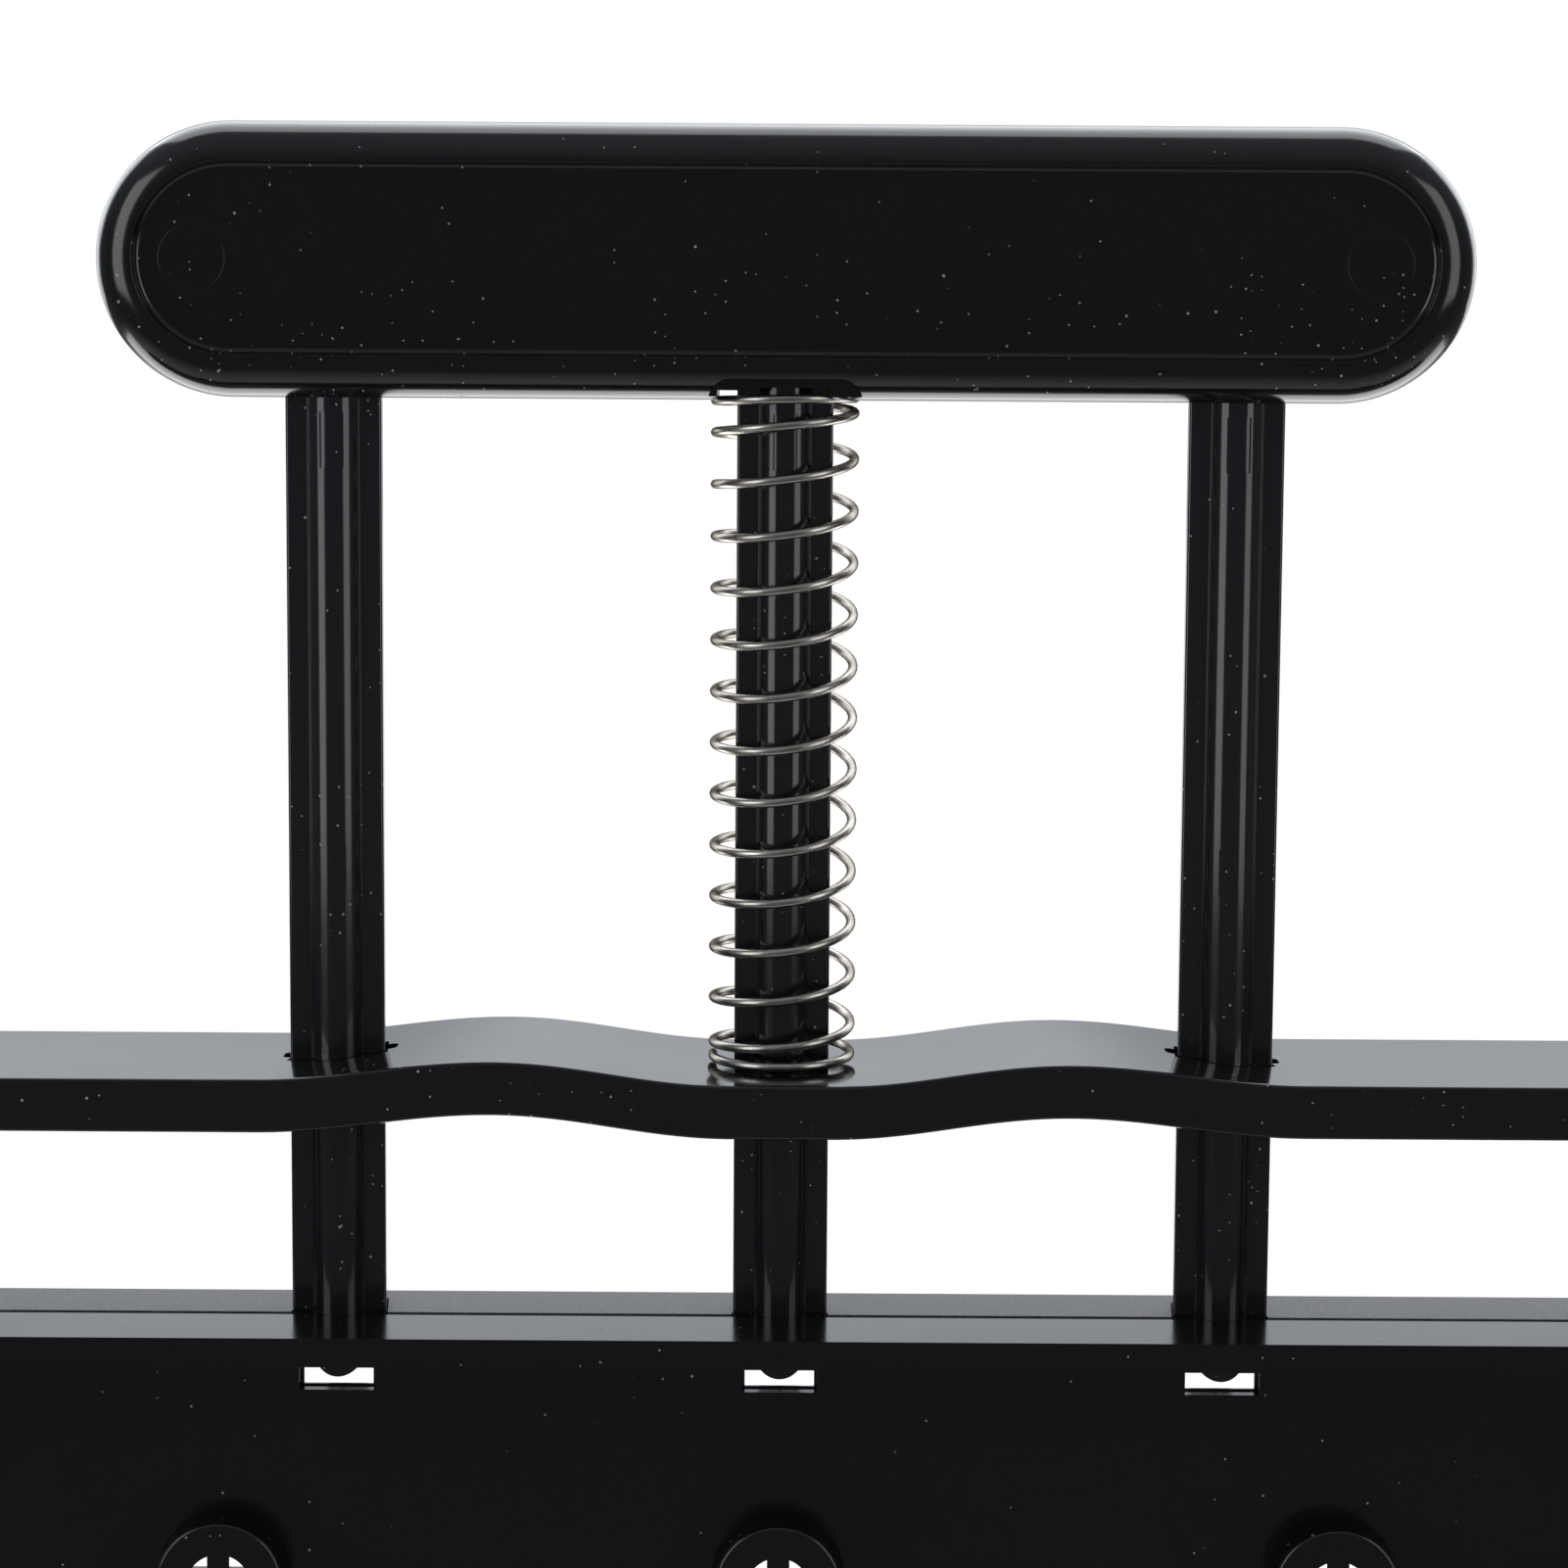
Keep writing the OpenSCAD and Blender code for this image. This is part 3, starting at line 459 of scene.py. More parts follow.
def black_plastic(name, roughness, dust_share, colour, low_dust=None):
    """Glossy moulded black plastic with faint flow marks, fine waviness and a little dust.

    low_dust gives two heights: dust is thick up to the first and thin from the second.
    """
    shader = Shader(name)
    flow = shader.noise(38.0, 4.0, 0.6)
    grain = shader.noise(900.0)
    where = shader.remap(shader.noise(55.0, 2.0, 0.6), 0.42, 0.66, 0.15, 1.6)
    if low_dust is not None:
        height = shader.split(shader.coordinates())[2]
        thin_out = shader.remap(height, *low_dust, 3.0, 0.5)
        where = shader.math("MULTIPLY", where, thin_out)
    larger = shader.specks(330.0, 0.036, dust_share, where)
    finer = shader.specks(1000.0, 0.080, dust_share * 0.4, where)
    dust = shader.math("MAXIMUM", larger, finer)
    dust_colour = (0.22, 0.22, 0.21, 1.0)
    rough = shader.remap(flow, 0.3, 0.7, roughness * 0.85, roughness * 1.2)
    rough = shader.math("ADD", rough, shader.math("MULTIPLY", dust, 0.5))
    normal = shader.bump(shader.noise(140.0), 0.00001, 0.5)
    normal = shader.bump(grain, 0.000002, 0.4, normal)
    shader.set_surface(shader.mix(dust, colour, dust_colour), rough, normal)
    shader.bsdf.inputs["IOR"].default_value = 1.5
    return shader.material


def textured_plastic(name):
    """Black plastic with a fine, sparkling spark-eroded texture."""
    shader = Shader(name)
    grain = shader.noise(5200.0, 3.0, 0.7)
    coarse = shader.noise(2300.0, 2.0, 0.6)
    shade = shader.mix(shader.remap(coarse, 0.4, 0.7),
                       (0.022, 0.022, 0.025, 1.0), (0.060, 0.060, 0.066, 1.0))
    normal = shader.bump(grain, 0.00006, 0.7)
    normal = shader.bump(coarse, 0.00006, 0.5, normal)
    shader.set_surface(shade, shader.remap(grain, 0.35, 0.65, 0.28, 0.44), normal)
    return shader.material


def bright_wire(name):
    """Drawn stainless wire: bright, with faint drawing lines and a warm cast."""
    shader = Shader(name)
    shader.bsdf.inputs["Metallic"].default_value = 1.0
    shader.bsdf.inputs["Specular Tint"].default_value = (0.12, 0.11, 0.10, 1.0)
    cast = shader.noise(260.0, 3.0, 0.6)
    shade = shader.mix(shader.remap(cast, 0.35, 0.65),
                       (0.34, 0.32, 0.29, 1.0), (0.45, 0.43, 0.40, 1.0))
    rough = shader.remap(shader.noise(700.0, 3.0), 0.3, 0.7, 0.22, 0.34)
    shader.set_surface(shade, rough, shader.bump(shader.noise(3000.0), 0.00001, 0.5))
    return shader.material


def zinc(name):
    """Zinc-plated screw steel."""
    shader = Shader(name)
    shader.bsdf.inputs["Metallic"].default_value = 1.0
    cast = shader.noise(900.0, 3.0, 0.6)
    shade = shader.mix(shader.remap(cast, 0.35, 0.65),
                       (0.50, 0.51, 0.53, 1.0), (0.66, 0.67, 0.68, 1.0))
    rough = shader.remap(cast, 0.3, 0.7, 0.24, 0.42)
    shader.set_surface(shade, rough, shader.bump(cast, 0.00002, 0.4))
    return shader.material


GLOSS = black_plastic("black_gloss_plastic", 0.11, 0.16, (0.0048, 0.0048, 0.0060, 1.0))
POST_GLOSS = black_plastic("black_post_plastic", 0.12, 0.22, (0.0072, 0.0072, 0.0090, 1.0))
CARRIER_GLOSS = black_plastic("black_carrier_plastic", 0.17, 0.05, (0.0030, 0.0030, 0.0041, 1.0))
HANDLE_GLOSS = black_plastic("black_handle_plastic", 0.13, 0.16, (0.0030, 0.0030, 0.0041, 1.0),
                             low_dust=(HANDLE_LOW.z + 5 * MM, HANDLE_MID_Z + 2 * MM))
SATIN = black_plastic("black_satin_plastic", 0.32, 0.04, (0.0045, 0.0045, 0.0052, 1.0))
TEXTURED = textured_plastic("black_textured_plastic")
WIRE_STEEL = bright_wire("spring_steel")
SCREW_STEEL = zinc("screw_steel")

# ------------------------------------------------------------------ handle


def stadium_loop(inset, y):
    """Points round the stadium outline, drawn in by inset, in the plane y."""
    straight = HANDLE_LENGTH / 2 - HANDLE_RADIUS
    radius = HANDLE_RADIUS - inset
    arc_steps = 48
    points = []
    for side, start in ((1, -90.0), (-1, 90.0)):
        for i in range(arc_steps + 1):
            a = math.radians(start + 180.0 * i / arc_steps)
            points.append(Vector((side * straight + radius * math.cos(a), y,
                                  HANDLE_MID_Z + radius * math.sin(a))))
    return points


def handle_profile():
    """(inset, depth) from the parting line over the rounded edge down onto the sunk panel."""
    def angle(start, sweep, i, steps):
        """The angle after i of the steps of a sweep, all given in degrees."""
        return math.radians(start + sweep * i / steps)

    # The fine groove at the parting line.
    seam = 0.10 * MM
    profile = [(seam, 0.0), (0.02 * MM, seam), (0.0, 2.5 * seam)]

    # The rounded edge, up to just short of the face.
    edge_steps = 28
    for i in range(edge_steps + 1):
        a = angle(0.0, 86.0, i, edge_steps)
        profile.append((HANDLE_EDGE * (1 - math.cos(a)),
                        HANDLE_DEPTH - HANDLE_EDGE + HANDLE_EDGE * math.sin(a)))

    # The lip, where the face turns down towards the panel.
    lip, lip_gap, lip_steps = 0.10 * MM, 0.08 * MM, 4
    lip_inset, lip_depth = profile[-1]
    for i in range(1, lip_steps + 1):
        a = angle(4.0, 78.0, i, lip_steps)
        profile.append((lip_inset + lip * math.sin(a) + lip_gap,
                        lip_depth - lip * (1 - math.cos(a))))

    # The fillet from the lip to the panel's floor.
    wall_inset, wall_depth = profile[-1]
    fillet_height, fillet_steps = wall_depth - 0.1 * MM - PANEL_FLOOR, 10
    for i in range(fillet_steps + 1):
        a = angle(12.0, 78.0, i, fillet_steps)
        profile.append((wall_inset + PANEL_FILLET * (1 - math.cos(a)),
                        PANEL_FLOOR + fillet_height * (1 - math.sin(a))))
    profile.append((wall_inset + PANEL_FILLET * 1.4, PANEL_FLOOR))
    return profile


def seat_strip(direction):
    """Cutter for the strip beside the post, on the left only, that light comes through."""
    half_x, inner_x, height = 6.8 * MM, 2.0 * MM, 1.0 * MM
    near, far = (-7.2 * MM, 0.0) if direction < 0 else (0.0, 8.2 * MM)
    return box_piece("strip", (-half_x, near, HANDLE_LOW.z - 2 * MM),
                     (-inner_x, far, HANDLE_LOW.z + height))


def seat_arch():
    """Cutter for the flat-backed arch over the spring's seat, in the front half."""
    half_x, front, back, corner, height = 7.65 * MM, 8.4 * MM, 6.4 * MM, 1.9 * MM, 2.6 * MM
    corners = [(-half_x, -front), (half_x, -front), (half_x, -back), (-half_x, -back)]
    return prism("arch", rounded(corners, [corner, corner, 0.0, 0.0], steps=10),
                 HANDLE_LOW.z - 2 * MM, HANDLE_LOW.z + height)


def screw_sink(x):
    """Cutter for the round recess of a screw's head, in the back half."""
    radius, floor = 2.95 * MM, 5.4 * MM
    return cylinder("sink", radius, (x, floor, HANDLE_MID_Z),
                    (x, HANDLE_DEPTH + 3 * MM, HANDLE_MID_Z), sides=48)


def ring_mark(x):
    """A hair-thin raised ring on the panel, as a moulding pin leaves on a flat face."""
    sides = 72
    section = [(-RING_WIDTH / 2, 0.0), (-RING_WIDTH / 4, RING_PROUD),
               (RING_WIDTH / 4, RING_PROUD), (RING_WIDTH / 2, 0.0)]
    loops = []
    for shift, out in section:
        radius = RING_RADIUS + shift
        loops.append([Vector((x + radius * math.cos(a), -PANEL_FLOOR - out,
                              HANDLE_MID_Z + radius * math.sin(a)))
                      for a in (2 * math.pi * i / sides for i in range(sides))])
    return from_bmesh("ring", loft(loops, closed=False))


def handle_shell(name, node, direction):
    """One half of the handle; direction is -1 for the front half and 1 for the back half."""
    loops = [stadium_loop(inset, direction * depth) for inset, depth in handle_profile()]
    piece = from_bmesh(name, loft(loops))
    for x in POST_XS.values():
        cut(piece, prism("post_space", post_outline(x, 0.1 * MM),
                         HANDLE_LOW.z - 5 * MM, HANDLE_LOW.z + 6 * MM))
    cut(piece, cylinder("seat", SEAT_RADIUS, (0, 0, HANDLE_LOW.z - 2 * MM),
                        (0, 0, HANDLE_LOW.z + SEAT_DEPTH), sides=96))
    cut(piece, seat_strip(direction))
    if direction > 0:
        for x in HANDLE_SCREW_X:
            cut(piece, screw_sink(x))
    else:
        cut(piece, seat_arch())
        for x in (HANDLE_SCREW_X[0], HANDLE_SCREW_X[-1]):
            join(piece, ring_mark(x))
    finish_piece(piece, PLUNGER, node, "black_gloss_plastic", HANDLE_GLOSS, angle=28.0)


# ------------------------------------------------------------------ posts

# The marks that moulding inserts leave on the front bead: from, to and depth, in mm.
BEAD_MARKS = ((235.1, 240.7, 0.16), (192.4, 197.0, 0.012), (151.8, 155.4, 0.012))


def post_outline(x, grow=0.0, corner=0.0, crease=0.0):
    """The post's section at x: flanges that taper to the back, and a round bead on both faces."""
    front = POST_WIDTH / 2 + grow
    back = front - POST_TAPER
    depth = POST_DEPTH / 2 + grow
    radius = BEAD_RADIUS + grow
    reach = math.acos((depth - BEAD_Y) / radius)
    steps = 28
    arc = [(radius * math.sin(a), BEAD_Y + radius * math.cos(a))
           for a in (-reach + 2 * reach * i / steps for i in range(steps + 1))]
    creases = [crease] + [0.0] * (steps - 1) + [crease]
    points = [(-front, -depth)] + [(px, -py) for px, py in arc] + [(front, -depth), (back, depth)]
    points += [(-px, py) for px, py in arc] + [(-back, depth)]
    radii = [corner] + creases + [corner, corner] + creases + [corner]
    return [(x + p[0], p[1]) for p in rounded(points, radii, steps=5)]


def bead_end(x, side):
    """The half-round lower end of a bead, below the flanges."""
    steps, arc_steps = 14, 16
    # How far up the first loop lies, as a share, and how much the loops crowd towards it.
    tip, crowding = 0.004, 1.6
    loops = []
    for i in range(steps + 1):
        z = BEAD_LOW + (POST_FOOT - BEAD_LOW) * (tip + (1 - tip) * (i / steps) ** crowding)
        half = min(math.sqrt(BEAD_RADIUS ** 2 - (BEAD_RADIUS - z + BEAD_LOW) ** 2),
                   BEAD_RADIUS * 0.999)
        loop = []
        for sign in (1, -1):
            for k in range(arc_steps + 1):
                px = sign * half * math.cos(math.pi * k / arc_steps)
                py = BEAD_Y + sign * math.sqrt(BEAD_RADIUS ** 2 - px * px)
                loop.append(Vector((x + px, side * py, z)))
        loops.append(loop)
    return from_bmesh("bead_end", loft(loops))


def bead_mark(x, low, high, depth):
    """Cutter for the shallow rectangle that a moulding insert leaves on the front bead."""
    half, steps = math.asin(1.2 * MM / BEAD_RADIUS), 12
    angles = [-half + 2 * half * i / steps for i in range(steps + 1)]
    inner, outer = BEAD_RADIUS - depth, BEAD_RADIUS + 0.5 * MM
    outline = [(x + inner * math.sin(a), -BEAD_Y - inner * math.cos(a)) for a in angles]
    outline += [(x + outer * math.sin(a), -BEAD_Y - outer * math.cos(a)) for a in reversed(angles)]
    return prism("mark", outline, low, high)


def post_lock(x, low, height):
    """The wider block, at the head or the foot, that locks a post."""
    half_width, half_depth = POST_LOCK_WIDTH / 2, POST_DEPTH / 2
    lock = box_piece("lock", (x - half_width, -half_depth, low),
                     (x + half_width, half_depth, low + height))
    bevel(lock, 0.2 * MM)
    return lock


def build_post(node, x):
    """A post with rounded edges, insert marks, round bead ends and its locking blocks."""
    corner, crease = 0.34 * MM, 0.12 * MM
    piece = prism(node + "_moulding", post_outline(x, 0.0, corner, crease), POST_FOOT, POST_TOP)
    for low, high, depth in BEAD_MARKS:
        cut(piece, bead_mark(x, low * MM, high * MM, depth * MM))
    foot = post_lock(x, POST_FOOT, 1.8 * MM)
    head = post_lock(x, HANDLE_LOW.z + 2.4 * MM, 4.0 * MM)
    join(piece, bead_end(x, 1), bead_end(x, -1), foot, head)
    finish_piece(piece, PLUNGER, node, "black_gloss_plastic", POST_GLOSS)


# ------------------------------------------------------------------ finger bar


def bar_top(x):
    """Height of the bar's top: cosine crests, flats outside, a shallow trough between."""
    a = abs(x)
    run = WAVE_OUT if a >= CREST_X else WAVE_IN
    part = (1 + math.cos(math.pi * min(abs(a - CREST_X) / run, 1.0))) / 2
    base = BAR_TOP if a >= CREST_X else BAR_TOP - TROUGH_DROP
    return base + (BAR_TOP + CREST_HEIGHT - base) * part


def bar_bend(side):
    """Stations from one end of the bar up round its bend."""
    stations = [((side * BAR_HALF, BAR_END_Z), (side * (BAR_HALF - BAR_THICKNESS), BAR_END_Z))]
    centre_x, centre_z = BAR_HALF - BAR_BEND, BAR_TOP - BAR_BEND
    steps = 16
    for i in range(steps + 1):
        a = math.radians(90.0 * i / steps)
        stations.append(tuple(
            (side * (centre_x + radius * math.cos(a)), centre_z + radius * math.sin(a))
            for radius in (BAR_BEND, BAR_BEND - BAR_THICKNESS)))
    return stations


def bar_stations():
    """Stations along the bar: (top point, bottom point) in X and Z, end to end."""
    reach = CREST_X + WAVE_OUT
    count = int(2 * reach / (0.75 * MM))
    middle = []
    for i in range(count + 1):
        x = -reach + 2 * reach * i / count
        middle.append(((x, bar_top(x)), (x, bar_top(x) - BAR_THICKNESS)))
    return bar_bend(-1) + middle + list(reversed(bar_bend(1)))


def bar_section(top, bottom):
    """A rounded cross-section between the bar's front and back, at one station."""
    corner, steps = 0.35 * MM, 5
    top, bottom = Vector((top[0], 0, top[1])), Vector((bottom[0], 0, bottom[1]))
    down = bottom - top
    thick = down.length
    down.normalize()
    half = BAR_DEPTH / 2
    points = []
    for y_sign, at_top, start in ((-1, True, 90), (-1, False, 180), (1, False, 270), (1, True, 0)):
        for i in range(steps + 1):
            a = math.radians(start + 90.0 * i / steps)
            y = y_sign * (half - corner) + corner * math.cos(a)
            drop = (corner if at_top else thick - corner) - corner * math.sin(a)
            points.append(top + down * drop + Vector((0, y, 0)))
    return points


def slot_tip_blank(x, low, high):
    """The narrow rounded reliefs at both ends of a slot, as one long rounded bar."""
    reach, half = POST_WIDTH / 2 + 1.0 * MM, 1.5 * MM
    corners = [(x - reach, -half), (x + reach, -half), (x + reach, half), (x - reach, half)]
    return prism("tip_space", rounded(corners, [0.8 * MM] * 4, steps=8), low, high)


def finger_bar_piece():
    """The bar with its slots for the posts and the holes for the legs' screws."""
    loops = [bar_section(top, bottom) for top, bottom in bar_stations()]
    piece = from_bmesh("finger_bar_moulding", loft(loops))
    low, high = BAR_TOP - 12 * MM, BAR_TOP + 8 * MM
    for x in POST_XS.values():
        cut(piece, prism("slot_space", post_outline(x, 0.3 * MM), low, high))
        cut(piece, slot_tip_blank(x, low, high))
    radius, z = 1.55 * MM, BAR_END_Z + 7 * MM
    for side in (-1, 1):
        for y in (-7 * MM, 7 * MM):
            cut(piece, cylinder("hole", radius, (side * (BAR_HALF - 8 * MM), y, z),
                                (side * (BAR_HALF + 2 * MM), y, z), sides=32))
    return piece


# ------------------------------------------------------------------ spring


def spring_line():
    """Centre line of the spring, from its upper end down to its lower end."""
    lead = (SPRING_HIGH - SPRING_LOW) / (SPRING_TURNS - OPEN_FROM - OPEN_UNTIL)

    def half_drop(u):
        """How far the wire has dropped after u turns from an end."""
        if u < OPEN_FROM:
            return 0.0
        if u < OPEN_UNTIL:
            return lead * (u - OPEN_FROM) ** 2 / (2 * (OPEN_UNTIL - OPEN_FROM))
        return lead * ((OPEN_UNTIL - OPEN_FROM) / 2 + u - OPEN_UNTIL)

    def point(u):
        if u <= SPRING_TURNS / 2:
            drop = half_drop(u)
        else:
            drop = SPRING_HIGH - SPRING_LOW - half_drop(SPRING_TURNS - u)
        a = 2 * math.pi * u
        lean = math.radians(COIL_LEAN * math.sin(math.pi * u / SPRING_TURNS))
        y = -SPRING_RADIUS * math.sin(a)
        return Vector((SPRING_RADIUS * math.cos(a), y * math.cos(lean),
                       SPRING_HIGH - drop + y * math.sin(lean)))

    steps = 48
    total = int(SPRING_TURNS * steps)
    line = [point(i / steps) for i in range(total + 1)]
    before = [line[0] + Vector((0, s * WIRE, 0)) for s in (1.0, 0.5)]
    after = [line[-1] + Vector((0, s * WIRE, 0)) for s in (0.5, 1.0)]
    return before + line + after


def tube(name, line, radius):
    """A round tube along a line, with flat ends."""
    sides = 14
    loops = []
    last = len(line) - 1
    for i, centre in enumerate(line):
        along = (line[min(i + 1, last)] - line[max(i - 1, 0)]).normalized()
        side = along.cross(Vector((0, 0, 1))).normalized()
        up = side.cross(along)
        loops.append([centre + radius * (math.cos(a) * side + math.sin(a) * up)
                      for a in (2 * math.pi * k / sides for k in range(sides))])
    return from_bmesh(name, loft(loops))


def build_spring():
    """The wound wire, put on the frame at one length, though the real one shortens towards the bar
    as the plunger goes down.
    """
    piece = tube("spring_wire", spring_line(), WIRE / 2)
    smooth_by_angle(piece, angle=50.0)
    paint(piece, WIRE_STEEL)
    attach(piece, FRAME_BODY)
    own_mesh(piece)
    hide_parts("spring")


# ------------------------------------------------------------------ screws and dibbers


def screw_profile(length):
    """(radius, distance) pairs of a screw, from its point over the thread and the domed head."""
    shank, head, high = SCREW_RADIUS, SCREW_HEAD_RADIUS, SCREW_HEAD_HEIGHT
    # The blunt point.
    profile = [(shank * 0.55, -length), (shank * 0.98, -length + 0.7 * MM)]

    # The thread, as rings with flat roots and crests.
    root = shank * 0.84
    turns = int((length - 1.6 * MM) / THREAD_PITCH)
    for i in range(turns):
        z = -length + 0.8 * MM + i * THREAD_PITCH
        profile += [(root, z), (root, z + 0.30 * THREAD_PITCH),
                    (shank, z + 0.5 * THREAD_PITCH), (shank, z + 0.62 * THREAD_PITCH)]

    # The plain neck and the seat and rim of the head.
    neck = shank * 0.95
    profile += [(neck, -0.7 * MM), (neck, -0.02 * MM), (head * 0.97, 0.0), (head, 0.12 * MM)]

    # The dome.
    side, steps = high * 0.42, 8
    for i in range(steps + 1):
        a = math.radians(90.0 * i / steps)
        profile.append((head * (1 - 0.62 * (1 - math.cos(a))),
                        side + (high - side) * math.sin(a) * 0.98))
    profile.append((head * 0.2, high * 0.985))
    return profile


def screw_piece(seat, along, length):
    """A pan-head screw with a cross recess; along points out of the head."""
    piece = turned("screw", screw_profile(length), seat, along)
    turn = axis_turn(along)
    narrow, long = 0.55 * MM, 1.75 * MM
    for across_x in (False, True):
        loops = []
        for reach, far in ((long * 0.45, SCREW_HEAD_HEIGHT - 1.3 * MM),
                           (long, SCREW_HEAD_HEIGHT + 0.2 * MM)):
            half_x, half_y = (reach, narrow) if across_x else (narrow, reach)
            loops.append([Vector(seat) + turn @ Vector((x * half_x, y * half_y, far))
                          for x, y in ((-1, -1), (1, -1), (1, 1), (-1, 1))])
        cut(piece, from_bmesh("recess", loft(loops)))
    return piece


def loose_parts(bm):
    """The lowest and highest corner of each part of a bmesh that touches no other."""
    left = set(bm.verts)
    for start in bm.verts:
        if start not in left:
            continue
        left.discard(start)
        group, stack = set(), [start]
        while stack:
            vert = stack.pop()
            group.add(vert)
            for edge in vert.link_edges:
                other = edge.other_vert(vert)
                if other in left:
                    left.discard(other)
                    stack.append(other)
        yield tuple(Vector([pick(v.co[k] for v in group) for k in range(3)]) for pick in (min, max))


def build_screws(node, body, along_x):
    """Replaces a node of plain screws by threaded ones with cross recesses, at the same places."""
    bm = welded_bmesh(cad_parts[node].data, 0.001 * MM)
    screws = []
    for low, high in loose_parts(bm):
        middle = (low + high) / 2
        if along_x:
            side = 1 if middle.x > 0 else -1
            end = high.x if side > 0 else -low.x
            seat = (side * (end - SCREW_HEAD_HEIGHT), middle.y, middle.z)
            screws.append(screw_piece(seat, (side, 0, 0), high.x - low.x - SCREW_HEAD_HEIGHT))
        else:
            seat = (middle.x, high.y - SCREW_HEAD_HEIGHT, middle.z)
            screws.append(screw_piece(seat, (0, 1, 0), high.y - low.y - SCREW_HEAD_HEIGHT))
    bm.free()
    piece = screws[0]
    piece.name = node + "_turned"
    join(piece, *screws[1:])
    finish_piece(piece, body, node, "screw_steel", SCREW_STEEL, angle=40.0)


def build_dibber(node):
    """A smooth tapered dibber with a rounded nose and a soft collar."""
    low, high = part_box(node)
    plate = low.z + 11.0 * MM
    spigot, collar, tip = 3.0 * MM, 8.0 * MM, 4.6 * MM
    nose, steps = tip * 0.6, 24
    profile = [(spigot, high.z), (spigot, plate),
               (collar - 0.15 * MM, plate), (collar, plate - 0.15 * MM),
               (collar, plate - 0.85 * MM), (collar - 0.1 * MM, plate - 1.05 * MM)]
    for i in range(1, steps + 1):
        a = math.radians(90.0 * i / steps)
        profile.append((max(tip * math.cos(a), 0.03 * MM), low.z + nose * (1 - math.sin(a))))
    axis = ((low.x + high.x) / 2, 0, 0)
    piece = turned(node + "_moulding", list(reversed(profile)), axis, (0, 0, 1), sides=72)
    finish_piece(piece, PLUNGER, node, "black_satin_plastic", SATIN, angle=40.0)


# ------------------------------------------------------------------ carrier


def round_boss_rims(piece):
    """Rounds the front rims of the five bosses, which are the edges on their outer circles."""
    bm = bmesh.new()
    bm.from_mesh(piece.data)
    centres = [(i - 2) * CELL_PITCH for i in range(5)]

    def on_rim(place):
        return abs(place.y - BOSS_FRONT) < 0.02 * MM and any(
            abs(math.hypot(place.x - x, place.z - BOSS_Z) - BOSS_RADIUS) < 0.04 * MM
            for x in centres)

    rims = [edge for edge in bm.edges if all(on_rim(v.co) for v in edge.verts)]
    bmesh.ops.bevel(bm, geom=rims, offset=0.38 * MM, segments=6, profile=0.5,
                    affect="EDGES", clamp_overlap=False)
    bm.to_mesh(piece.data)
    bm.free()


def window_trim(x):
    """The lips at the sides and the foot of a window, and the brow at its head."""
    sink, hair = 0.1 * MM, 0.08 * MM
    back = WEB_BACK - hair
    trim = []
    for side in (-1, 1):
        edge = x + side * WINDOW_HALF
        inner, outer = sorted((edge - side * 0.30 * MM, edge + side * sink))
        trim.append(box_piece("jamb_lip", (inner, WEB_BACK - 0.55 * MM, WINDOW_LOW - sink),
                              (outer, back, WINDOW_HIGH + sink)))
    left, right = x - WINDOW_HALF - sink, x + WINDOW_HALF + sink
    trim.append(box_piece("lip", (left, WEB_BACK - 0.45 * MM, WINDOW_LOW - sink),
                          (right, back, WINDOW_LOW + 0.17 * MM)))
    trim.append(box_piece("brow", (left, WEB_FRONT + 0.06 * MM, WINDOW_HIGH - 0.17 * MM),
                          (right, back, WINDOW_HIGH + sink)))
    return trim


def build_carrier_front():
    """The CAD carrier with round boss rims, lips at its windows, and a step along the seam."""
    piece = dressed_copy("carrier_front", 0)
    round_boss_rims(piece)
    low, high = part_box("carrier_front")
    step_deep, step_high = 1.05 * MM, 0.28 * MM
    cut(piece, box_piece("step", (low.x - 1 * MM, SEAM_Y - step_deep, CARRIER_TOP - step_high),
                         (high.x + 1 * MM, SEAM_Y + 1 * MM, CARRIER_TOP + 1 * MM)))
    bevel(piece, 0.12 * MM)
    join(piece, *(part for x in POST_XS.values() for part in window_trim(x)))
    finish_piece(piece, PLUNGER, "carrier_front", "black_gloss_plastic", CARRIER_GLOSS)


# ------------------------------------------------------------------ build it

handle_shell("handle_front_shell", "handle_front", -1)
handle_shell("handle_back_shell", "handle_back", 1)
for post_node, post_x in POST_XS.items():
    build_post(post_node, post_x)
finish_piece(finger_bar_piece(), FRAME_BODY, "finger_bar", "black_gloss_plastic", GLOSS)
build_spring()

# Nodes whose CAD shape is kept, with their edges rounded by the width.
DRESSED = [
    ("carrier_rail", PLUNGER, 0.08 * MM, TEXTURED, "black_textured_plastic"),
    ("mould", FRAME_BODY, 0.4 * MM, GLOSS, "black_gloss_plastic"),
    ("left_leg", FRAME_BODY, 0.35 * MM, GLOSS, "black_gloss_plastic"),
    ("right_leg", FRAME_BODY, 0.35 * MM, GLOSS, "black_gloss_plastic"),
]
for index in range(1, 6):
    DRESSED.append(("piston_%d" % index, PLUNGER, 0.15 * MM, SATIN, "black_satin_plastic"))
for dressed_node, dressed_body, edge_width, dressed_material, dressed_slot in DRESSED:
    finish_piece(dressed_copy(dressed_node, edge_width), dressed_body, dressed_node,
                 dressed_slot, dressed_material)

build_carrier_front()

for screw_node in ("bar_screws", "leg_screws"):
    build_screws(screw_node, FRAME_BODY, along_x=True)
for screw_node in ("handle_screws", "rail_screws", "piston_screws"):
    build_screws(screw_node, PLUNGER, along_x=False)
for index in range(1, 6):
    build_dibber("dibber_%d" % index)

# ------------------------------------------------------------------ floor, light, camera


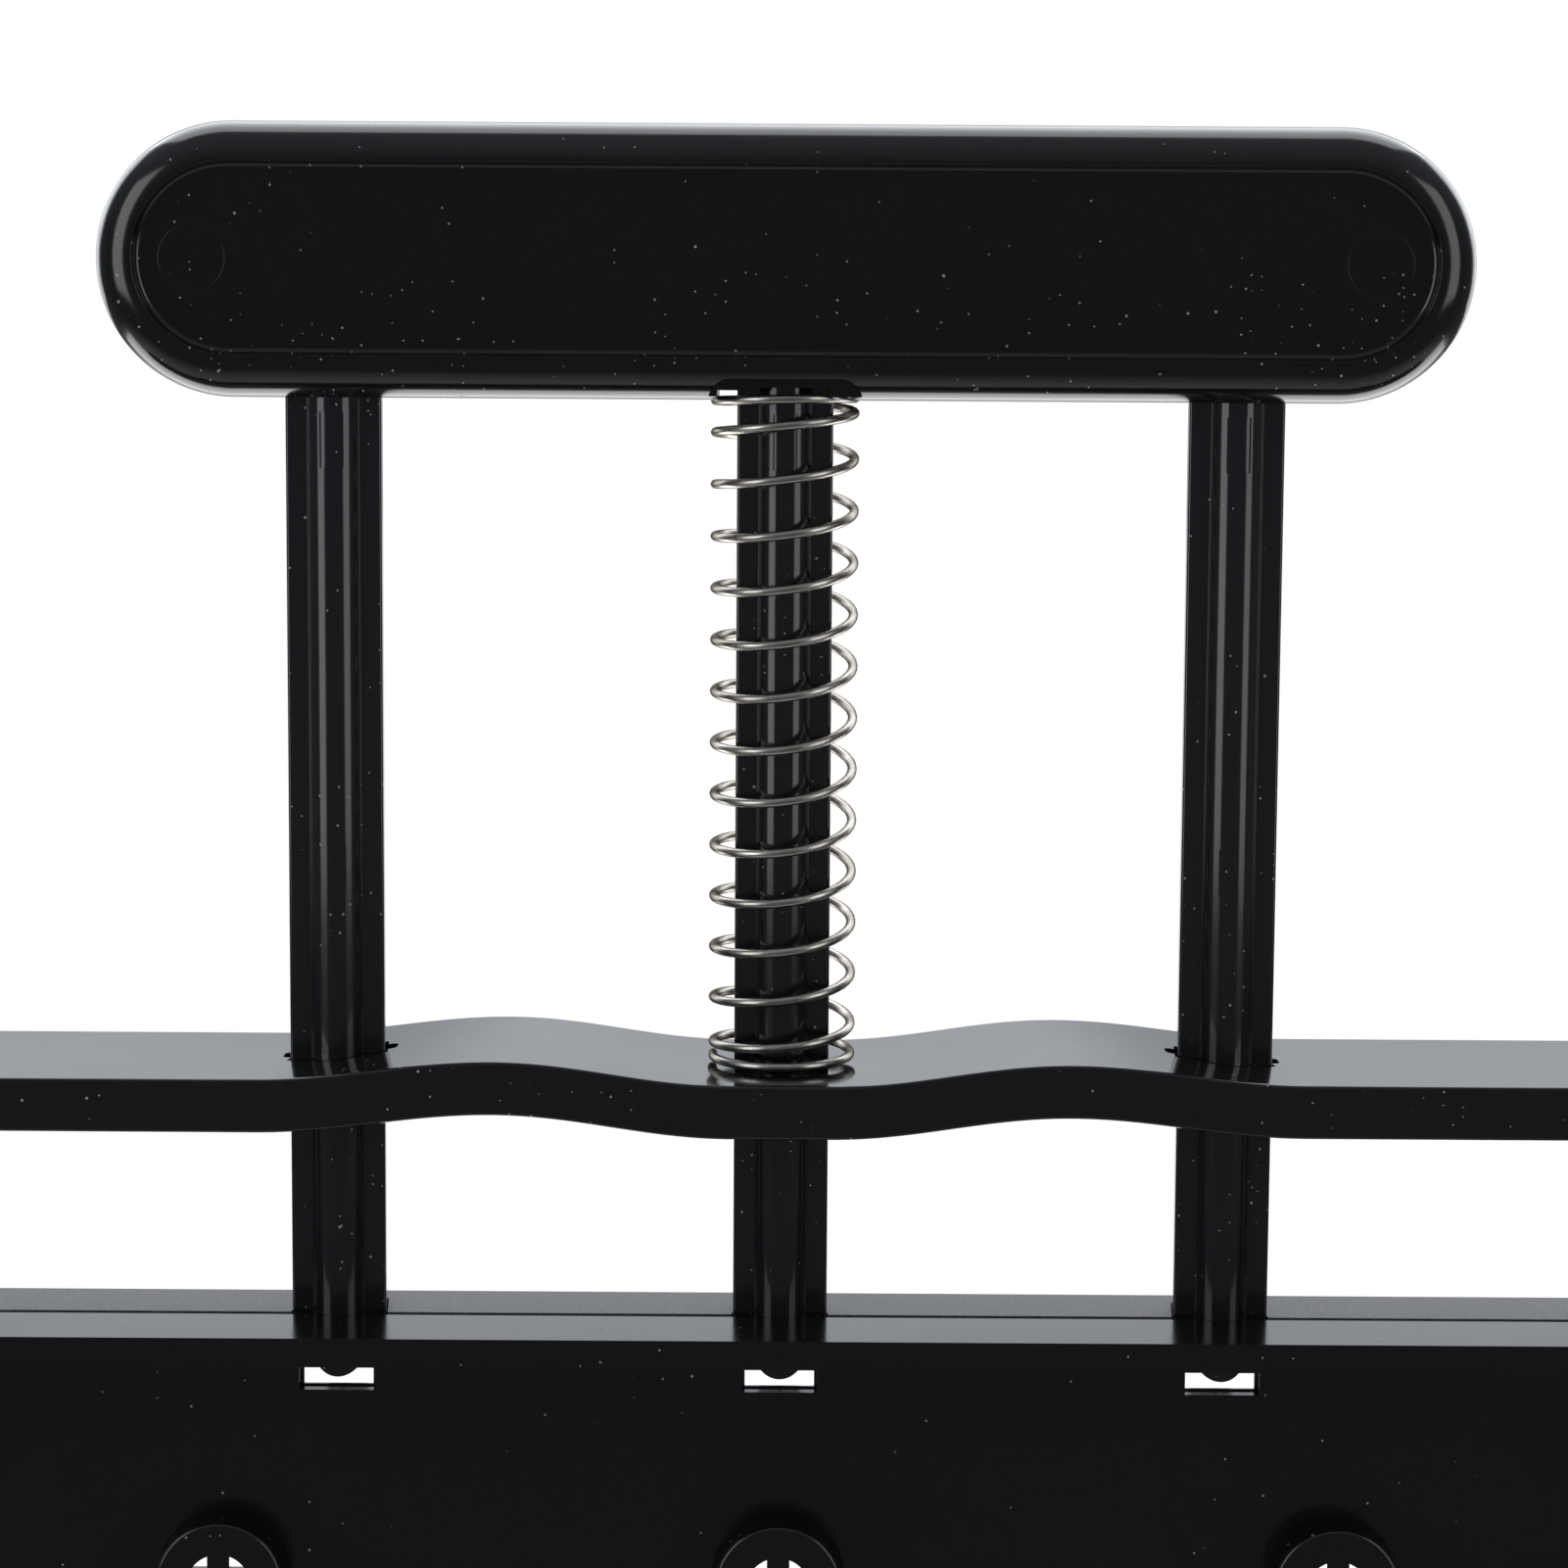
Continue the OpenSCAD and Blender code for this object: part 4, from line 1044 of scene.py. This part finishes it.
def build_floor():
    """A pale floor: white to the camera round the object's shadow, and a mirror image that
    is bright behind the object and dim on the user's side."""
    mesh = bpy.data.meshes.new("floor")
    reach = 8.0
    mesh.from_pydata([(-reach, -reach, 0), (reach, -reach, 0), (reach, reach, 0),
                      (-reach, reach, 0)], [], [(0, 1, 2, 3)])
    floor = add_object("floor", mesh)
    shader = Shader("floor_paper")
    shader.tree.nodes.remove(shader.bsdf)

    # To the camera: paper that takes the shadow near the object, plain white far from it.
    far = shader.node("ShaderNodeVectorMath", operation="LENGTH")
    shader.link(shader.coordinates(), far.inputs[0])
    paper = shader.node("ShaderNodeBsdfDiffuse", Color=(0.86, 0.86, 0.87, 1.0))
    white = shader.node("ShaderNodeEmission", Color=(1.0, 1.0, 1.0, 1.0), Strength=1.0)
    fade = shader.remap(far.outputs["Value"], 0.25, 0.9, 0.5, 1.0)
    to_camera = shader.mix_shaders(fade, paper.outputs[0], white.outputs[0])

    # In reflections: bright behind the object and not far to its sides, dim elsewhere.
    x, y, _ = shader.split(shader.coordinates())
    behind = shader.math("MULTIPLY", shader.remap(y, -0.26, 0.03),
                         shader.remap(shader.math("ABSOLUTE", x, 0.0), 0.60, 0.35))
    mirrored = shader.node("ShaderNodeEmission", Color=(0.97, 0.98, 1.0, 1.0))
    shader.link(shader.remap(behind, 0.0, 1.0, DIM_SIDE, 1.0), mirrored.inputs["Strength"])

    plain = shader.node("ShaderNodeBsdfDiffuse", Color=(0.8, 0.8, 0.8, 1.0))
    rays = shader.node("ShaderNodeLightPath").outputs
    to_object = shader.mix_shaders(rays["Is Glossy Ray"], plain.outputs[0], mirrored.outputs[0])
    surface = shader.mix_shaders(rays["Is Camera Ray"], to_object, to_camera)
    shader.link(surface, shader.tree.nodes["Material Output"].inputs["Surface"])
    paint(floor, shader.material)


def build_world():
    """White to the camera; to the object, white behind it and dim on the user's side."""
    world = bpy.data.worlds.new("studio")
    bpy.context.scene.world = world
    world.use_nodes = True
    tree = world.node_tree
    tree.nodes.clear()
    output = tree.nodes.new("ShaderNodeOutputWorld")
    split = tree.nodes.new("ShaderNodeSeparateXYZ")
    tree.links.new(tree.nodes.new("ShaderNodeTexCoord").outputs["Generated"], split.inputs[0])

    def ramp(value, low, high, to_low, to_high):
        """A smooth step from one number or output to another."""
        node = tree.nodes.new("ShaderNodeMapRange")
        node.interpolation_type = "SMOOTHSTEP"
        tree.links.new(value, node.inputs["Value"])
        for name, given in (("From Min", low), ("From Max", high),
                            ("To Min", to_low), ("To Max", to_high)):
            if isinstance(given, float):
                node.inputs[name].default_value = given
            else:
                tree.links.new(given, node.inputs[name])
        return node.outputs["Result"]

    def background(colour, strength):
        node = tree.nodes.new("ShaderNodeBackground")
        node.inputs["Color"].default_value = colour
        if isinstance(strength, float):
            node.inputs["Strength"].default_value = strength
        else:
            tree.links.new(strength, node.inputs["Strength"])
        return node.outputs[0]

    front = ramp(split.outputs["Z"], 0.0, 1.0, DIM_SIDE, 0.42)
    back = ramp(split.outputs["Z"], 0.13, 0.19, 0.50, 1.12)
    around = background((0.90, 0.94, 1.0, 1.0), ramp(split.outputs["Y"], 0.38, 0.50, front, back))
    white = background((1.0, 1.0, 1.0, 1.0), 1.0)
    mix = tree.nodes.new("ShaderNodeMixShader")
    is_camera = tree.nodes.new("ShaderNodeLightPath").outputs["Is Camera Ray"]
    for socket, source in zip(mix.inputs, (is_camera, around, white)):
        tree.links.new(source, socket)
    tree.links.new(mix.outputs[0], output.inputs["Surface"])


def panel(name, place, target, width, height, radiance, colour=(1.0, 1.0, 1.0)):
    """A rectangular lamp at a place, turned to a target, unseen by the camera."""
    data = bpy.data.lights.new(name, "AREA")
    data.shape = "RECTANGLE"
    data.size = width
    data.size_y = height
    data.energy = radiance * width * height * math.pi
    data.color = colour
    lamp = add_object(name, data)
    lamp.location = place
    lamp.rotation_euler = (Vector(target) - Vector(place)).to_track_quat("-Z", "Y").to_euler()
    lamp.visible_camera = False


def softbox(name, azimuth, elevation, distance, width, height, radiance, colour):
    """A rectangular lamp round the object; azimuth 0 is the user's side, in degrees."""
    a, e = math.radians(azimuth), math.radians(elevation)
    outward = Vector((math.sin(a) * math.cos(e), -math.cos(a) * math.cos(e), math.sin(e)))
    panel(name, TARGET + distance * outward, TARGET, width, height, radiance, colour)


def build_lights():
    """Tall boxes at the front and back sides, a wide one above the back, and a low glow."""
    for name, azimuth, elevation, distance, width, height, radiance, colour in (
            ("left_softbox", -53, 6, 1.4, 0.70, 1.5, 2.6, (0.93, 0.97, 1.0)),
            ("right_softbox", 54, 6, 1.4, 0.62, 1.5, 2.1, (0.95, 0.98, 1.0)),
            ("top_softbox", 180, 61, 1.3, 1.7, 1.35, 2.8, (0.95, 0.97, 1.0)),
            ("left_back_softbox", -136, 14, 1.4, 0.7, 1.2, 2.0, (0.95, 0.97, 1.0)),
            ("right_back_softbox", 136, 14, 1.4, 0.7, 1.2, 2.0, (0.95, 0.97, 1.0))):
        softbox(name, azimuth, elevation, distance, width, height, radiance, colour)
    panel("table_glow", (0, 0.20, 0.004), (0, 0.20, 1.0), 1.0, 0.32, 3.2)


def build_camera():
    """The photograph's view: focal length and tilt in a 1601-pixel frame, and a slight roll."""
    photo_px = 1601
    focal_px = 3678.0
    tilt = math.radians(6.09)
    roll = math.radians(0.36)
    distance = 0.3693
    data = bpy.data.cameras.new("camera")
    data.sensor_width = 36.0
    data.lens = data.sensor_width * focal_px / photo_px
    data.clip_start = 0.01
    data.clip_end = 50.0
    camera = add_object("camera", data)
    forward = Vector((0, math.cos(tilt), -math.sin(tilt)))
    place = TARGET - distance * forward + Vector((0.1 * MM, 0, 0))
    turn = Matrix.Rotation(math.pi / 2 - tilt, 4, "X") @ Matrix.Rotation(roll, 4, "Z")
    camera.matrix_world = Matrix.Translation(place) @ turn
    bpy.context.scene.camera = camera


build_floor()
build_world()
build_lights()
build_camera()
bpy.context.scene.view_settings.view_transform = "Standard"
